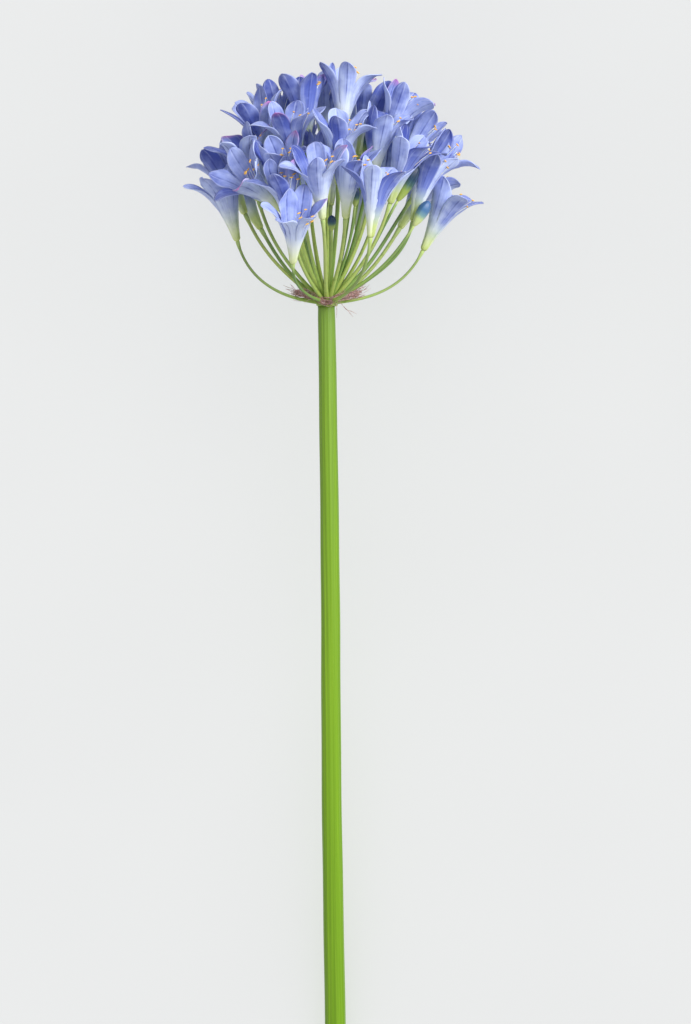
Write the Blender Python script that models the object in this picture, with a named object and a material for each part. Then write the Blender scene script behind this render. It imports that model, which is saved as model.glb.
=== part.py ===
"""A cut agapanthus flower stem, lying on a flat surface as it was picked.

A Blender 4.5 script, in metres with +Z up. It builds a green scape, the spray of pedicels that
arch from its top, a thread-like bract ring, the blue trumpet blooms with six tepals each, and
the closed buds.

The plant is worked out upright: x to the right, y away from the viewer, z up along the scape, and
its origin at the top of the scape. An empty then lays it down, with its front face up.
"""

import math
import random

import bmesh
import bpy
import numpy as np
from mathutils import Matrix, Vector
from mathutils.bvhtree import BVHTree

MM = 0.001
GAP = 0.3 * MM

# Scape: the leafless flower stalk, measured down from its top
SCAPE_LENGTH = 480 * MM
SCAPE_TOP_RADIUS = 5.1 * MM
SCAPE_FOOT_RADIUS = 6.3 * MM
SCAPE_DEPTH_SHARE = 0.92
SCAPE_RIDGE = 0.25 * MM
SCAPE_SIDES = 12
SCAPE_STATIONS = 12
SCAPE_LEAN = 5.2 / 420
SCAPE_SWAY = 0.4 * MM
SCAPE_SWAY_LENGTH = 420 * MM
SCAPE_OFFSET = -0.4 * MM
SCAPE_SAG = 4 * MM

# Umbel: the mouths of the blooms lie on a dome above the top of the scape
DOME_CENTRE = Vector((2.4, 0, 50)) * MM
DOME_WIDTH = 67 * MM
DOME_FRONT = 66 * MM
DOME_BACK = 60 * MM
DOME_HEIGHT = 73 * MM
FOCUS = Vector((0, 0, -50)) * MM
HEAD_HEIGHT = 71 * MM

# Receptacle and pedicels
RECEPTACLE_RADIUS = 6.2 * MM
RECEPTACLE_HEIGHT = 3.8 * MM
ROOT_HEIGHT = 1.5 * MM
PEDICEL_RADIUS = 1.2 * MM
PEDICEL_TIP_RADIUS = 1.6 * MM
PEDICEL_POINTS = 6
PEDICEL_SIDES = 4
RIM_POLAR = math.radians(52)
RIM_START = math.radians(86)
INNER_START = math.radians(64)
FAN_POWER = 0.8

# One bloom, along its own axis from the foot of the tube: radius and height of each ring
TUBE = ((1.9 * MM, 0.0), (3.2 * MM, 9 * MM), (5.6 * MM, 18.5 * MM))
MOUTH_HEIGHT = 30 * MM
TEPALS = 6
TEPAL_LENGTH = (28 * MM, 27 * MM)
TEPAL_HALF_WIDTH = (5.3 * MM, 6.1 * MM)
TEPAL_START = math.radians(16)
TEPAL_CURL = math.radians(88)
TEPAL_CURL_POWER = 1.5
TEPAL_CUP = 1.0 * MM
TEPAL_THICKNESS = 0.8 * MM
STATIONS = (0.0, 0.28, 0.56, 0.82, 1.0)
WIDTHS = (0.0, 0.84, 1.0, 0.84, 0.0)
WEDGE = 0.5
STAMEN_HEIGHT = 33 * MM
STAMEN_SPREAD = 4.6 * MM
STAMEN_INSET = 0.7 * MM

# Room that each bloom keeps when crowded ones are moved apart: spheres at these heights on its axis
ROOM_HEIGHTS = (2 * MM, 9 * MM, 18 * MM, 26 * MM, 34 * MM)
ROOM_RADII = (3 * MM, 4.4 * MM, 7 * MM, 9.6 * MM, 11.5 * MM)
SPREAD_ROUNDS = 250
SPREAD_STEP = 0.12
SPREAD_WAY = np.array((0.45, 1.0, 0.45))
SPREAD_HOME = np.array((0.03, 0.0, 0.03))

# How far a tepal opens, from flat to closed, and how deep it may be pressed in by the surface
CLEARANCE = 0.25 * MM
FLARES = (1.0, 0.85, 0.7, 0.55, 0.4, 0.25, 0.1, -0.1, -0.3)
OPENING_ROUNDS = (0.4, 1.0)
FACING_FLARES = (0.55, 0.4, 0.25)
SIDE_FLARES = (0.85, 0.7, 0.55, 0.4)
FACING_ANGLE = 50
PRESSED_FLAT = 5 * MM

# Blooms seen from the front: mouth x and z in mm, the share of the dome's depth that it stands
# forward, its lean to the right and its turn to the viewer in degrees, or None for the dome's own, and
# the angle from the viewer to its first tepal, to the right round its axis
FRONT_BLOOMS = (
    (-60.5, 66.5, 0.1, -15, 8, 30),
    (-17.8, 45.1, 1.0, 4, 38, 40),
    (28.5, 64.7, 1.0, 6, 12, -18),
    (70.7, 59.4, 0.1, 27, 8, 25),
    (-46, 71.5, 0.9, -50, 34, -20),
    (-48.7, 89, 0.4, -16, 15, 15),
    (-61, 82, -0.5, -24, -5, 30),
    (-41, 110.5, 0.2, -20, 22, 30),
    (-31, 119, -0.6, None, None, 0),
    (-29, 80, 0.7, -18, 24, -10),
    (-22, 102, 0.9, -10, 16, -20),
    (-13, 122, -0.4, -3, -6, 15),
    (-2, 125, 0.5, 0, 8, 0),
    (11, 128, -0.3, 4, -6, 5),
    (7.7, 97, 0.95, 2, 18, 0),
    (26, 118, -0.6, 14, -12, 20),
    (31, 100, 0.75, 8, 14, 10),
    (43, 115, 0.1, 24, 2, -10),
    (53, 102, -0.6, 26, -10, 20),
    (46, 85, 0.9, 18, 16, -20),
    (58.2, 78, 0.3, 14, 4, 5),
    (68, 89, -0.1, 36, -4, 25),
    (-5, 73, 1.0, -6, 28, -8),
    (-3, 88, 0.2, -4, 14, 0),
    (13, 76, 0.8, 4, 20, 10),
    (-24, 66, 0.85, -10, 22, -15),
)

# Blooms on the far side: polar angle on the dome, how many, and the first and last azimuth in degrees
BACK_ROWS = ((36, 2, 62, 118), (57, 3, 45, 135), (72, 4, 28, 152))
BACK_FOCUS = Vector((0, 0, -25)) * MM

# Buds: centre x, y, z in mm, lean and turn in degrees, half width and length in mm
BUDS = (
    (3, -33, 46, 0, 20, 2.8, 9),
    (55.8, -14, 53, 32, 10, 4.0, 17),
    (47.5, -20, 70, 30, 10, 4.4, 24),
    (25, -16, 94, 12, 5, 4.2, 22),
    (-13.8, -38, 56, -8, 20, 2.5, 10),
    (17, -34, 61, 6, 15, 2.7, 11),
    (-2, -14, 58, -2, 10, 3.2, 13),
    (-20, 30, 60, -18, -26, 3.2, 14),
)
BUD_SIDES = 8
BUD_RINGS = 6

# Bract ring: dry threads left by the sheath, hung between the low pedicels and the upright ones
BRACT_WIDTH = 20 * MM
BRACT_DEPTH = 13 * MM
BRACT_HEIGHT = 4.5 * MM
BRACT_THICKNESS = 0.9 * MM
BRACT_STEPS = 36
BRACT_SIDES = 4
BRACT_SAMPLES = 6
BRACT_SEARCH = 0.4 * MM
BRACT_ROOM = 2.9 * MM
BRACT_STRAY = 0.02 * MM
BRACT_RISES = range(-3, 20)
BRACT_ROUNDS = 6

COLOURS = {
    "scape": (0.26, 0.45, 0.05, 0.45),
    "pedicel": (0.28, 0.42, 0.09, 0.5),
    "bract": (0.33, 0.15, 0.15, 0.9),
    "tepal": (0.26, 0.33, 0.80, 0.6),
    "bud": (0.05, 0.12, 0.22, 0.5),
}


def new_material(name):
    """A plain Principled material of one of the plant's colours."""
    *colour, roughness = COLOURS[name]
    material = bpy.data.materials.new(name)
    material.use_nodes = True
    shader = material.node_tree.nodes["Principled BSDF"]
    shader.inputs["Base Color"].default_value = (*colour, 1)
    shader.inputs["Roughness"].default_value = roughness
    shader.inputs["Metallic"].default_value = 0
    return material


def add_object(name, mesh, material, parent, smooth=60):
    """An object of this mesh, in the scene, shaded smooth up to an angle."""
    mesh.materials.clear()
    mesh.materials.append(material)
    mesh.shade_smooth()
    mesh.set_sharp_from_angle(angle=math.radians(smooth))
    made = bpy.data.objects.new(name, mesh)
    bpy.context.scene.collection.objects.link(made)
    made.parent = parent
    return made


def mesh_from(name, bm):
    """Turns a closed bmesh into a mesh whose faces point out."""
    bmesh.ops.recalc_face_normals(bm, faces=bm.faces)
    mesh = bpy.data.meshes.new(name)
    bm.to_mesh(mesh)
    bm.free()
    return mesh


def triangulated(bm):
    """The same bmesh in triangles."""
    bmesh.ops.triangulate(bm, faces=bm.faces)
    return bm


def tree_of(bm, matrix):
    """A search tree of a bmesh's triangles, moved by matrix."""
    bm.verts.index_update()
    points = [matrix @ vert.co for vert in bm.verts]
    triangles = [[vert.index for vert in face.verts] for face in bm.faces]
    bm.free()
    return BVHTree.FromPolygons(points, triangles)


def direction(lean, turn):
    """The unit vector that leans to the right and turns to the viewer by these angles in degrees."""
    lean = math.radians(lean)
    turn = math.radians(turn)
    return Vector((math.sin(lean) * math.cos(turn), -math.sin(turn), math.cos(lean) * math.cos(turn)))


def frame_along(axis, origin, spin=0.0):
    """The matrix that puts +Z along axis at origin, turned about it by spin."""
    turned = axis.to_track_quat("Z", "Y").to_matrix().to_4x4()
    return Matrix.Translation(origin) @ turned @ Matrix.Rotation(spin, 4, "Z")


def turn_to_viewer(axis):
    """How far a bloom is spun about its axis for its first tepal to face the viewer."""
    viewer = frame_along(axis, Vector()).inverted() @ Vector((0, -1, 0))
    return math.atan2(viewer.y, viewer.x)


def lying_down():
    """The matrix that lays the upright plant on the surface, its cut end and its head touching it."""
    foot = SCAPE_FOOT_RADIUS * SCAPE_DEPTH_SHARE
    tilt = math.asin((HEAD_HEIGHT - foot) / (SCAPE_LENGTH + DOME_CENTRE.z))
    top_height = foot * math.cos(tilt) + SCAPE_LENGTH * math.sin(tilt)
    return Matrix.Translation((0, 0, top_height)) @ Matrix.Rotation(tilt - math.pi / 2, 4, "X")


def scape_ring(down, radius):
    """The corners of the scape's oval, faintly ridged section at a distance down from its top."""
    sway = SCAPE_SWAY * math.sin(2 * math.pi * down / SCAPE_SWAY_LENGTH)
    sag = SCAPE_SAG * math.sin(math.pi * down / SCAPE_LENGTH)
    centre = Vector((SCAPE_OFFSET + SCAPE_LEAN * down + sway, sag, -down))
    ring = []
    for side in range(SCAPE_SIDES):
        angle = 2 * math.pi * side / SCAPE_SIDES
        reach = radius - SCAPE_RIDGE * (side % 2)
        across = Vector((math.cos(angle) * reach, math.sin(angle) * reach * SCAPE_DEPTH_SHARE, 0))
        ring.append(centre + across)
    return ring


def make_scape():
    """The stalk: rings down its length, bridged one after the other, and closed at both ends."""
    bm = bmesh.new()
    rings = []
    for station in range(SCAPE_STATIONS + 1):
        share = station / SCAPE_STATIONS
        radius = SCAPE_TOP_RADIUS + (SCAPE_FOOT_RADIUS - SCAPE_TOP_RADIUS) * share**0.7
        down = max(GAP, share * SCAPE_LENGTH)
        rings.append([bm.verts.new(point) for point in scape_ring(down, radius)])
    close_rings(bm, rings)
    return mesh_from("scape", bm)


def close_rings(bm, rings):
    """Joins rings of as many corners in order, and closes the first and the last."""
    for low, high in zip(rings, rings[1:]):
        for i, corner in enumerate(low):
            bm.faces.new((low[i - 1], corner, high[i], high[i - 1]))
    bm.faces.new(rings[0])
    bm.faces.new(rings[-1])


def ring_points(radius, height, corners, offset):
    """Points on a circle about the bloom's axis."""
    step = 2 * math.pi / corners
    turns = [step * (i + offset) for i in range(corners)]
    return [Vector((radius * math.cos(turn), radius * math.sin(turn), height)) for turn in turns]


def tepal_line(flare, length):
    """Radius, height and slope of a tepal's midline at each station, in the bloom's own frame."""
    radius, height = TUBE[-1]
    points = [(radius, height, TEPAL_START)]
    for start, end in zip(STATIONS, STATIONS[1:]):
        slope = TEPAL_START + flare * TEPAL_CURL * ((start + end) / 2) ** TEPAL_CURL_POWER
        radius += (end - start) * length * math.sin(slope)
        height += (end - start) * length * math.cos(slope)
        points.append((radius, height, TEPAL_START + flare * TEPAL_CURL * end**TEPAL_CURL_POWER))
    return points


def tepal_points(number, flare, sway):
    """The three points across a tepal at each free station, and its tip."""
    whorl = number % 2
    turn = Matrix.Rotation(2 * math.pi * number / TEPALS, 3, "Z")
    line = tepal_line(flare, TEPAL_LENGTH[whorl])
    rows = []
    for (radius, height, slope), share, along in zip(line[1:-1], WIDTHS[1:-1], STATIONS[1:-1]):
        cup = TEPAL_CUP * share
        room = WEDGE * (radius - cup)
        half = min(TEPAL_HALF_WIDTH[whorl] * share, room)
        aside = sway * along**2 * min(TEPAL_HALF_WIDTH[whorl], room - half)
        inward = Vector((-math.cos(slope), 0, math.sin(slope))) * cup
        middle = Vector((radius, aside, height))
        across = Vector((0, half, 0))
        rows.append([turn @ (middle + inward - across), turn @ middle, turn @ (middle + inward + across)])
    radius, height, _ = line[-1]
    return rows, turn @ Vector((radius, sway * TEPAL_HALF_WIDTH[whorl] * 0.8, height))


def add_tepal(bm, base, rows, tip):
    """The triangles of a tepal's free part, from its three points on the throat to its tip."""
    last = base
    for row in rows:
        new = [bm.verts.new(point) for point in row]
        bm.faces.new((last[0], last[1], new[0]))
        bm.faces.new((last[1], new[1], new[0]))
        bm.faces.new((last[1], last[2], new[2]))
        bm.faces.new((last[1], new[2], new[1]))
        last = new
    end = bm.verts.new(tip)
    bm.faces.new((last[0], last[1], end))
    bm.faces.new((last[1], last[2], end))


def bloom_sheet(tepals):
    """The middle surface of a bloom: a closed foot, a funnel, and six free tepals."""
    bm = bmesh.new()
    foot = [bm.verts.new(point) for point in ring_points(*TUBE[0], TEPALS, -0.5)]
    waist = [bm.verts.new(point) for point in ring_points(*TUBE[1], TEPALS, -0.5)]
    throat = [bm.verts.new(point) for point in ring_points(*TUBE[2], 2 * TEPALS, -1)]
    bm.faces.new(foot)
    for i, (rows, tip) in enumerate(tepals):
        j = (i + 1) % TEPALS
        left, middle, right = throat[2 * i], throat[2 * i + 1], throat[2 * j]
        bm.faces.new((foot[i], foot[j], waist[i]))
        bm.faces.new((foot[j], waist[j], waist[i]))
        bm.faces.new((waist[i], middle, left))
        bm.faces.new((waist[i], waist[j], middle))
        bm.faces.new((waist[j], right, middle))
        add_tepal(bm, [left, middle, right], rows, tip)
    bmesh.ops.recalc_face_normals(bm, faces=bm.faces)
    return triangulated(bm)


def thicken(bm, half):
    """Gives a sheet its thickness, half to each side."""
    bm.normal_update()
    for vert, normal in [(vert, vert.normal.copy()) for vert in bm.verts]:
        vert.co += normal * half
    bmesh.ops.solidify(bm, geom=bm.faces[:], thickness=2 * half)
    return triangulated(bm)


def add_stamens(bm):
    """Six slim spikes raised from the inner wall of the funnel, one in front of each tepal."""
    lowest = TUBE[1][1] * 1.05
    highest = TUBE[2][1] * 0.9
    inner = []
    for face in bm.faces:
        middle = face.calc_center_median()
        if face.normal.xy.dot(middle.xy) < 0 and lowest < middle.z < highest:
            inner.append(face)
    for number in range(TEPALS):
        angle = 2 * math.pi * number / TEPALS
        aim = Vector((math.cos(angle), math.sin(angle)))
        face = max(inner, key=lambda wall: wall.calc_center_median().xy.normalized().dot(aim))
        inner.remove(face)
        bmesh.ops.inset_individual(bm, faces=[face], thickness=STAMEN_INSET)
        tip = bmesh.ops.poke(bm, faces=[face])["verts"][0]
        reach = STAMEN_SPREAD * (1 + 0.25 * (number % 2))
        tip.co = Vector((aim.x * reach, aim.y * reach, STAMEN_HEIGHT))


def dome_place(x, z, forward):
    """The point of the dome at x and z, moved forward from its middle plane by this share."""
    depth = DOME_FRONT if forward > 0 else DOME_BACK
    across = ((x - DOME_CENTRE.x) / DOME_WIDTH) ** 2 + ((z - DOME_CENTRE.z) / DOME_HEIGHT) ** 2
    return Vector((x, DOME_CENTRE.y - forward * depth * math.sqrt(max(0, 1 - across)), z))


def place_blooms():
    """Mouth and axis of every bloom: those seen from the front, then rows on the far side."""
    placed = []
    for x, z, forward, lean, turn, _ in FRONT_BLOOMS:
        mouth = dome_place(x * MM, z * MM, forward)
        axis = (mouth - FOCUS).normalized() if lean is None else direction(lean, turn)
        placed.append((mouth, axis))
    for polar, count, first, last in BACK_ROWS:
        for i in range(count):
            tilt = math.radians(polar)
            azimuth = math.radians(first + (last - first) * i / (count - 1))
            across = math.sin(tilt)
            unit = Vector((across * math.cos(azimuth), across * math.sin(azimuth), math.cos(tilt)))
            mouth = DOME_CENTRE + unit * Vector((DOME_WIDTH, DOME_BACK, DOME_HEIGHT))
            placed.append((mouth, (mouth - BACK_FOCUS).normalized()))
    return placed


def spread_apart(feet, axes, rooms):
    """Moves crowded blooms and buds off each other, mostly in depth. Each has spheres of room on its axis."""
    home = np.array(feet)
    feet = home.copy()
    ways = np.array(axes)
    heights, radii = np.array(rooms).transpose(2, 0, 1)
    wanted = radii[:, :, None, None] + radii[None, None]
    own = np.eye(len(feet), dtype=bool)[:, None, :, None]
    for _ in range(SPREAD_ROUNDS):
        centres = feet[:, None] + ways[:, None] * heights[:, :, None]
        apart = centres[:, :, None, None] - centres[None, None]
        distance = np.sqrt((apart**2).sum(-1)) + 1e-9
        push = np.where(own, 0, np.clip(wanted - distance, 0, None)) / distance
        move = (apart * push[..., None]).sum((1, 2, 3))
        feet += move * SPREAD_STEP * SPREAD_WAY + (home - feet) * SPREAD_HOME
    return [Vector(foot) for foot in feet]


def pedicel_curve(base, axis):
    """Points of the arch from the receptacle to the foot of a bloom or bud."""
    aside = Vector((base.x, base.y, 0))
    polar = math.atan2(aside.length, base.z)
    start = RIM_START if polar > RIM_POLAR else INNER_START * (polar / RIM_POLAR) ** FAN_POWER
    outward = aside.normalized()
    root = outward * RECEPTACLE_RADIUS * 0.55 * min(1, polar / RIM_POLAR)
    root.z = ROOT_HEIGHT
    leave = outward * math.sin(start) + Vector((0, 0, math.cos(start)))
    end = base - axis * (TEPAL_THICKNESS / 2 + GAP)
    span = (end - root).length
    handle_a = root + leave * span * 0.45
    handle_b = end - axis * span * 0.35
    points = []
    for i in range(PEDICEL_POINTS):
        t = i / (PEDICEL_POINTS - 1)
        s = 1 - t
        points.append(root * s**3 + handle_a * 3 * s * s * t + handle_b * 3 * s * t * t + end * t**3)
    return points


def tube_bmesh(points, radii, sides, last_way):
    """A closed tube through these points, its sections square to the path and the last one to last_way."""
    bm = bmesh.new()
    rings = []
    side_way = Vector((0, 1, 0))
    for i, point in enumerate(points):
        ahead = points[min(i + 1, len(points) - 1)] - points[max(i - 1, 0)]
        ahead = last_way if point is points[-1] else ahead.normalized()
        side_way = (side_way - ahead * side_way.dot(ahead)).normalized()
        other = ahead.cross(side_way)
        ring = []
        for corner in range(sides):
            angle = 2 * math.pi * corner / sides
            reach = side_way * math.cos(angle) + other * math.sin(angle)
            ring.append(bm.verts.new(point + reach * radii[i]))
        rings.append(ring)
    close_rings(bm, rings)
    return bm


def make_pedicels(curves, material, parent):
    """The receptacle with every pedicel joined to it by one Boolean union."""
    bm = bmesh.new()
    bmesh.ops.create_uvsphere(bm, u_segments=12, v_segments=6, radius=RECEPTACLE_RADIUS)
    lower = [vert for vert in bm.verts if vert.co.z < -0.01 * MM]
    bmesh.ops.delete(bm, geom=lower, context="VERTS")
    bmesh.ops.holes_fill(bm, edges=[edge for edge in bm.edges if edge.is_boundary])
    for vert in bm.verts:
        vert.co.z *= RECEPTACLE_HEIGHT / RECEPTACLE_RADIUS
    receptacle = add_object("pedicels", mesh_from("receptacle", bm), material, parent)
    joined = bpy.data.collections.new("pedicels_to_join")
    bpy.context.scene.collection.children.link(joined)
    for i, (points, axis) in enumerate(curves):
        radii = [PEDICEL_RADIUS] * (len(points) - 1) + [PEDICEL_TIP_RADIUS]
        bm = tube_bmesh(points, radii, PEDICEL_SIDES, axis)
        piece = bpy.data.objects.new(f"pedicel_{i}", mesh_from(f"pedicel_{i}", bm))
        joined.objects.link(piece)
        piece.parent = parent
    union = receptacle.modifiers.new("join pedicels", "BOOLEAN")
    union.operation = "UNION"
    union.operand_type = "COLLECTION"
    union.collection = joined
    union.solver = "EXACT"
    bpy.context.view_layer.update()
    graph = bpy.context.evaluated_depsgraph_get()
    mesh = bpy.data.meshes.new_from_object(receptacle.evaluated_get(graph))
    receptacle.modifiers.clear()
    receptacle.data = mesh
    for piece in list(joined.objects):
        bpy.data.objects.remove(piece)
    bpy.data.collections.remove(joined)


def make_bud(half_width, length):
    """A closed bud: a slim green foot that swells to a blunt tip, along +Z from the origin."""
    bm = bmesh.new()
    bmesh.ops.create_uvsphere(bm, u_segments=BUD_SIDES, v_segments=BUD_RINGS, radius=1)
    for vert in bm.verts:
        share = (vert.co.z + 1) / 2
        swell = min(half_width * (0.55 + 0.6 * share**1.2), half_width)
        vert.co = Vector((vert.co.x * swell, vert.co.y * swell, share * length))
    return mesh_from("bud", bm)


def make_bract_ring(curves):
    """A thin oval ring threaded between the low pedicels and the upright ones, as clear as it can be."""
    cloud = []
    for points, _ in curves:
        for low, high in zip(points, points[1:]):
            cloud += [low.lerp(high, step / BRACT_SAMPLES) for step in range(BRACT_SAMPLES)]
    cloud = np.array(cloud)
    path = []
    for step in range(BRACT_STEPS):
        angle = 2 * math.pi * step / BRACT_STEPS
        tried = []
        for rise in BRACT_RISES:
            height = BRACT_HEIGHT + rise * BRACT_SEARCH
            point = (math.cos(angle) * BRACT_WIDTH, math.sin(angle) * BRACT_DEPTH, height)
            room = float(np.sqrt(((cloud - np.array(point)) ** 2).sum(1)).min())
            tried.append((min(room, BRACT_ROOM) - abs(rise) * BRACT_STRAY, rise, point))
        path.append(max(tried)[2])
    path = np.array(path)
    for _ in range(BRACT_ROUNDS):
        path = (np.roll(path, 1, 0) + path * 2 + np.roll(path, -1, 0)) / 4
        apart = path[:, None] - cloud[None]
        distance = np.sqrt((apart**2).sum(2))
        nearest = distance.argmin(1)
        for step, other in enumerate(nearest):
            room = distance[step, other]
            path[step] += apart[step, other] / room * max(0, BRACT_ROOM - room)
    path = [Vector(point) for point in path]
    bm = bmesh.new()
    rings = []
    for i, point in enumerate(path):
        before, after = path[i - 1], path[(i + 1) % BRACT_STEPS]
        ahead = (after - before).normalized()
        up = (Vector((0, 0, 1)) - ahead * ahead.z).normalized()
        out = ahead.cross(up)
        ring = []
        for corner in range(BRACT_SIDES):
            angle = 2 * math.pi * corner / BRACT_SIDES
            reach = up * math.cos(angle) + out * math.sin(angle)
            ring.append(bm.verts.new(point + reach * BRACT_THICKNESS))
        rings.append(ring)
    for i, low in enumerate(rings):
        high = rings[(i + 1) % BRACT_STEPS]
        for corner in range(BRACT_SIDES):
            bm.faces.new((low[corner - 1], low[corner], high[corner], high[corner - 1]))
    return mesh_from("bract_ring", bm)


def laid_tepal(number, flare, sway, to_world):
    """A tepal's points, with those that would sink into the surface laid on it, and how deep they were."""
    rows, tip = tepal_points(number, flare, sway)
    from_world = to_world.inverted()
    floor = TEPAL_THICKNESS / 2
    deepest = 0
    laid = []
    for point in [point for row in rows for point in row] + [tip]:
        world = to_world @ point
        deepest = max(deepest, floor - world.z)
        if world.z < floor:
            world.z = floor
            point = from_world @ world
        laid.append(point)
    return [laid[i : i + 3] for i in range(0, len(laid) - 1, 3)], laid[-1], deepest


def wanted_flare(angle, draws):
    """How far a tepal wants to open. The ones that face the viewer stand more upright."""
    aside = abs((angle + 180) % 360 - 180)
    return draws.choice(FACING_FLARES if aside < FACING_ANGLE else SIDE_FLARES)


def tepal_tree(number, rows, tip, matrix):
    """A search tree of a tepal with the room that it keeps to its neighbours."""
    throat = ring_points(*TUBE[-1], 2 * TEPALS, -1)
    bm = bmesh.new()
    start = []
    for i in range(3):
        point = throat[(2 * number + i) % (2 * TEPALS)]
        start.append(bm.verts.new(point.lerp(rows[0][i], 0.12)))
    add_tepal(bm, start, rows, tip)
    return tree_of(thicken(bm, TEPAL_THICKNESS / 2 + CLEARANCE), matrix)


def open_blooms(blooms, lay, obstacles):
    """Opens every tepal from closed to what it wants, or as far as its neighbours and the surface let it."""
    trees = dict(obstacles)
    shapes = {}
    for limit in (FLARES[-1],) + OPENING_ROUNDS:
        for name, matrix, wanted, sways in blooms:
            for number in range(TEPALS):
                own = (name, number)
                others = [tree for key, tree in trees.items() if key[0] != name]
                for flare in [flare for flare in FLARES if flare <= min(limit, wanted[number])]:
                    rows, tip, deepest = laid_tepal(number, flare, sways[number], lay @ matrix)
                    tree = tepal_tree(number, rows, tip, matrix)
                    clear = deepest < PRESSED_FLAT and not any(tree.overlap(other) for other in others)
                    if clear or own not in trees:
                        trees[own] = tree
                        shapes.setdefault(name, {})[number] = (rows, tip)
                    if clear:
                        break
    return shapes


def centre_on_ground(plant):
    """Moves the plant so that the origin is the middle of the ground that it covers."""
    corners = []
    for piece in plant.children:
        corners += [piece.matrix_world @ vert.co for vert in piece.data.vertices]
    low = [min(corner[i] for corner in corners) for i in range(3)]
    high = [max(corner[i] for corner in corners) for i in range(3)]
    middle = Vector((-(low[0] + high[0]) / 2, -(low[1] + high[1]) / 2, -low[2]))
    plant.matrix_world = Matrix.Translation(middle) @ plant.matrix_world


def main():
    for stale in list(bpy.data.objects):
        bpy.data.objects.remove(stale)
    materials = {name: new_material(name) for name in COLOURS}
    plant = bpy.data.objects.new("plant", None)
    bpy.context.scene.collection.objects.link(plant)
    lay = lying_down()
    plant.matrix_world = lay
    add_object("scape", make_scape(), materials["scape"], plant)

    feet, axes, rooms = [], [], []
    for mouth, axis in place_blooms():
        feet.append(mouth - axis * MOUTH_HEIGHT)
        axes.append(axis)
        rooms.append(list(zip(ROOM_HEIGHTS, ROOM_RADII)))
    for x, y, z, lean, turn, half_width, length in BUDS:
        axis = direction(lean, turn)
        feet.append((Vector((x, y, z)) - axis * length / 2) * MM)
        axes.append(axis)
        shares = [i / (len(ROOM_RADII) - 1) for i in range(len(ROOM_RADII))]
        rooms.append([(share * length * MM, half_width * MM * (0.7 + 0.5 * share)) for share in shares])
    feet = spread_apart(feet, axes, rooms)
    bloom_count = len(feet) - len(BUDS)

    curves = [(pedicel_curve(foot, axis), axis) for foot, axis in zip(feet, axes)]
    make_pedicels(curves, materials["pedicel"], plant)
    add_object("bract_ring", make_bract_ring(curves), materials["bract"], plant)

    obstacles = {}
    for number, (points, axis) in enumerate(curves):
        radii = [PEDICEL_RADIUS + GAP] * (len(points) - 1) + [PEDICEL_TIP_RADIUS]
        bm = tube_bmesh(points, radii, PEDICEL_SIDES, axis)
        obstacles["pedicels", number] = tree_of(triangulated(bm), Matrix.Identity(4))
    for number, (foot, axis, bud) in enumerate(zip(feet[bloom_count:], axes[bloom_count:], BUDS)):
        mesh = make_bud(bud[5] * MM, bud[6] * MM)
        made = add_object(f"bud_{number + 1:02d}", mesh, materials["bud"], plant)
        made.matrix_local = frame_along(axis, foot)
        bm = bmesh.new()
        bm.from_mesh(mesh)
        obstacles[made.name, 0] = tree_of(triangulated(bm), frame_along(axis, foot))

    blooms = []
    for number in range(bloom_count):
        name = f"bloom_{number + 1:02d}"
        draws = random.Random(number)
        first = FRONT_BLOOMS[number][5] if number < len(FRONT_BLOOMS) else draws.uniform(0, 360)
        spin = turn_to_viewer(axes[number]) + math.radians(first)
        matrix = frame_along(axes[number], feet[number], spin)
        sways = [draws.uniform(-0.6, 0.6) for _ in range(TEPALS)]
        wanted = [wanted_flare(first + 360 * tepal / TEPALS, draws) for tepal in range(TEPALS)]
        blooms.append((name, matrix, wanted, sways))
        points = [Vector((0, 0, height)) for _, height in TUBE]
        radii = [radius + TEPAL_THICKNESS for radius, _ in TUBE]
        funnel = tube_bmesh(points, radii, TEPALS, Vector((0, 0, 1)))
        obstacles[name, "funnel"] = tree_of(triangulated(funnel), matrix)
    shapes = open_blooms(blooms, lay, obstacles)
    for name, matrix, _, _ in blooms:
        bm = thicken(bloom_sheet([shapes[name][number] for number in range(TEPALS)]), TEPAL_THICKNESS / 2)
        add_stamens(bm)
        made = add_object(name, mesh_from(name, bm), materials["tepal"], plant)
        made.matrix_local = matrix
    bpy.context.view_layer.update()
    centre_on_ground(plant)


main()
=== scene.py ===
# %% [markdown]
# A cut agapanthus stem
#
# An agapanthus head is an umbel: all flower stalks leave the top of one bare green stalk, the scape.
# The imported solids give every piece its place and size. This script gives them their looks: thin
# veined tepals in two whorls, stamens, round stalks, closed buds and the dry threads at the base.

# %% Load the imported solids
import math
import random

import bmesh
import bpy
import numpy as np
from mathutils import Matrix, Vector
from mathutils.bvhtree import BVHTree


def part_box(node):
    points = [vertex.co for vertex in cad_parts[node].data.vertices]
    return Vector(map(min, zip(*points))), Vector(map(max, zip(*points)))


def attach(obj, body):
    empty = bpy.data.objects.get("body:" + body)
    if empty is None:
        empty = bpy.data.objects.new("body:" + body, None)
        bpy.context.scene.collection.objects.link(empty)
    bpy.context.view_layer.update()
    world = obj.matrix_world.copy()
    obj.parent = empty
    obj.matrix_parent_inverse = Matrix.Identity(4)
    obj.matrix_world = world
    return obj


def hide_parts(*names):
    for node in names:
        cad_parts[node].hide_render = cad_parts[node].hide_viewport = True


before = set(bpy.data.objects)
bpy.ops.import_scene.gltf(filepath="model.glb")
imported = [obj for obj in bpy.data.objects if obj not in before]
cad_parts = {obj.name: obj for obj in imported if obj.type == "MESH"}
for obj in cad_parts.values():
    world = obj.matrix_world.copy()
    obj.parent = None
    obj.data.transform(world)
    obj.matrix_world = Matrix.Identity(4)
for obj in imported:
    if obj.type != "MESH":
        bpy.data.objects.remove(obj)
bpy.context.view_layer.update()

print("CAD nodes:", len(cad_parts))

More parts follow.
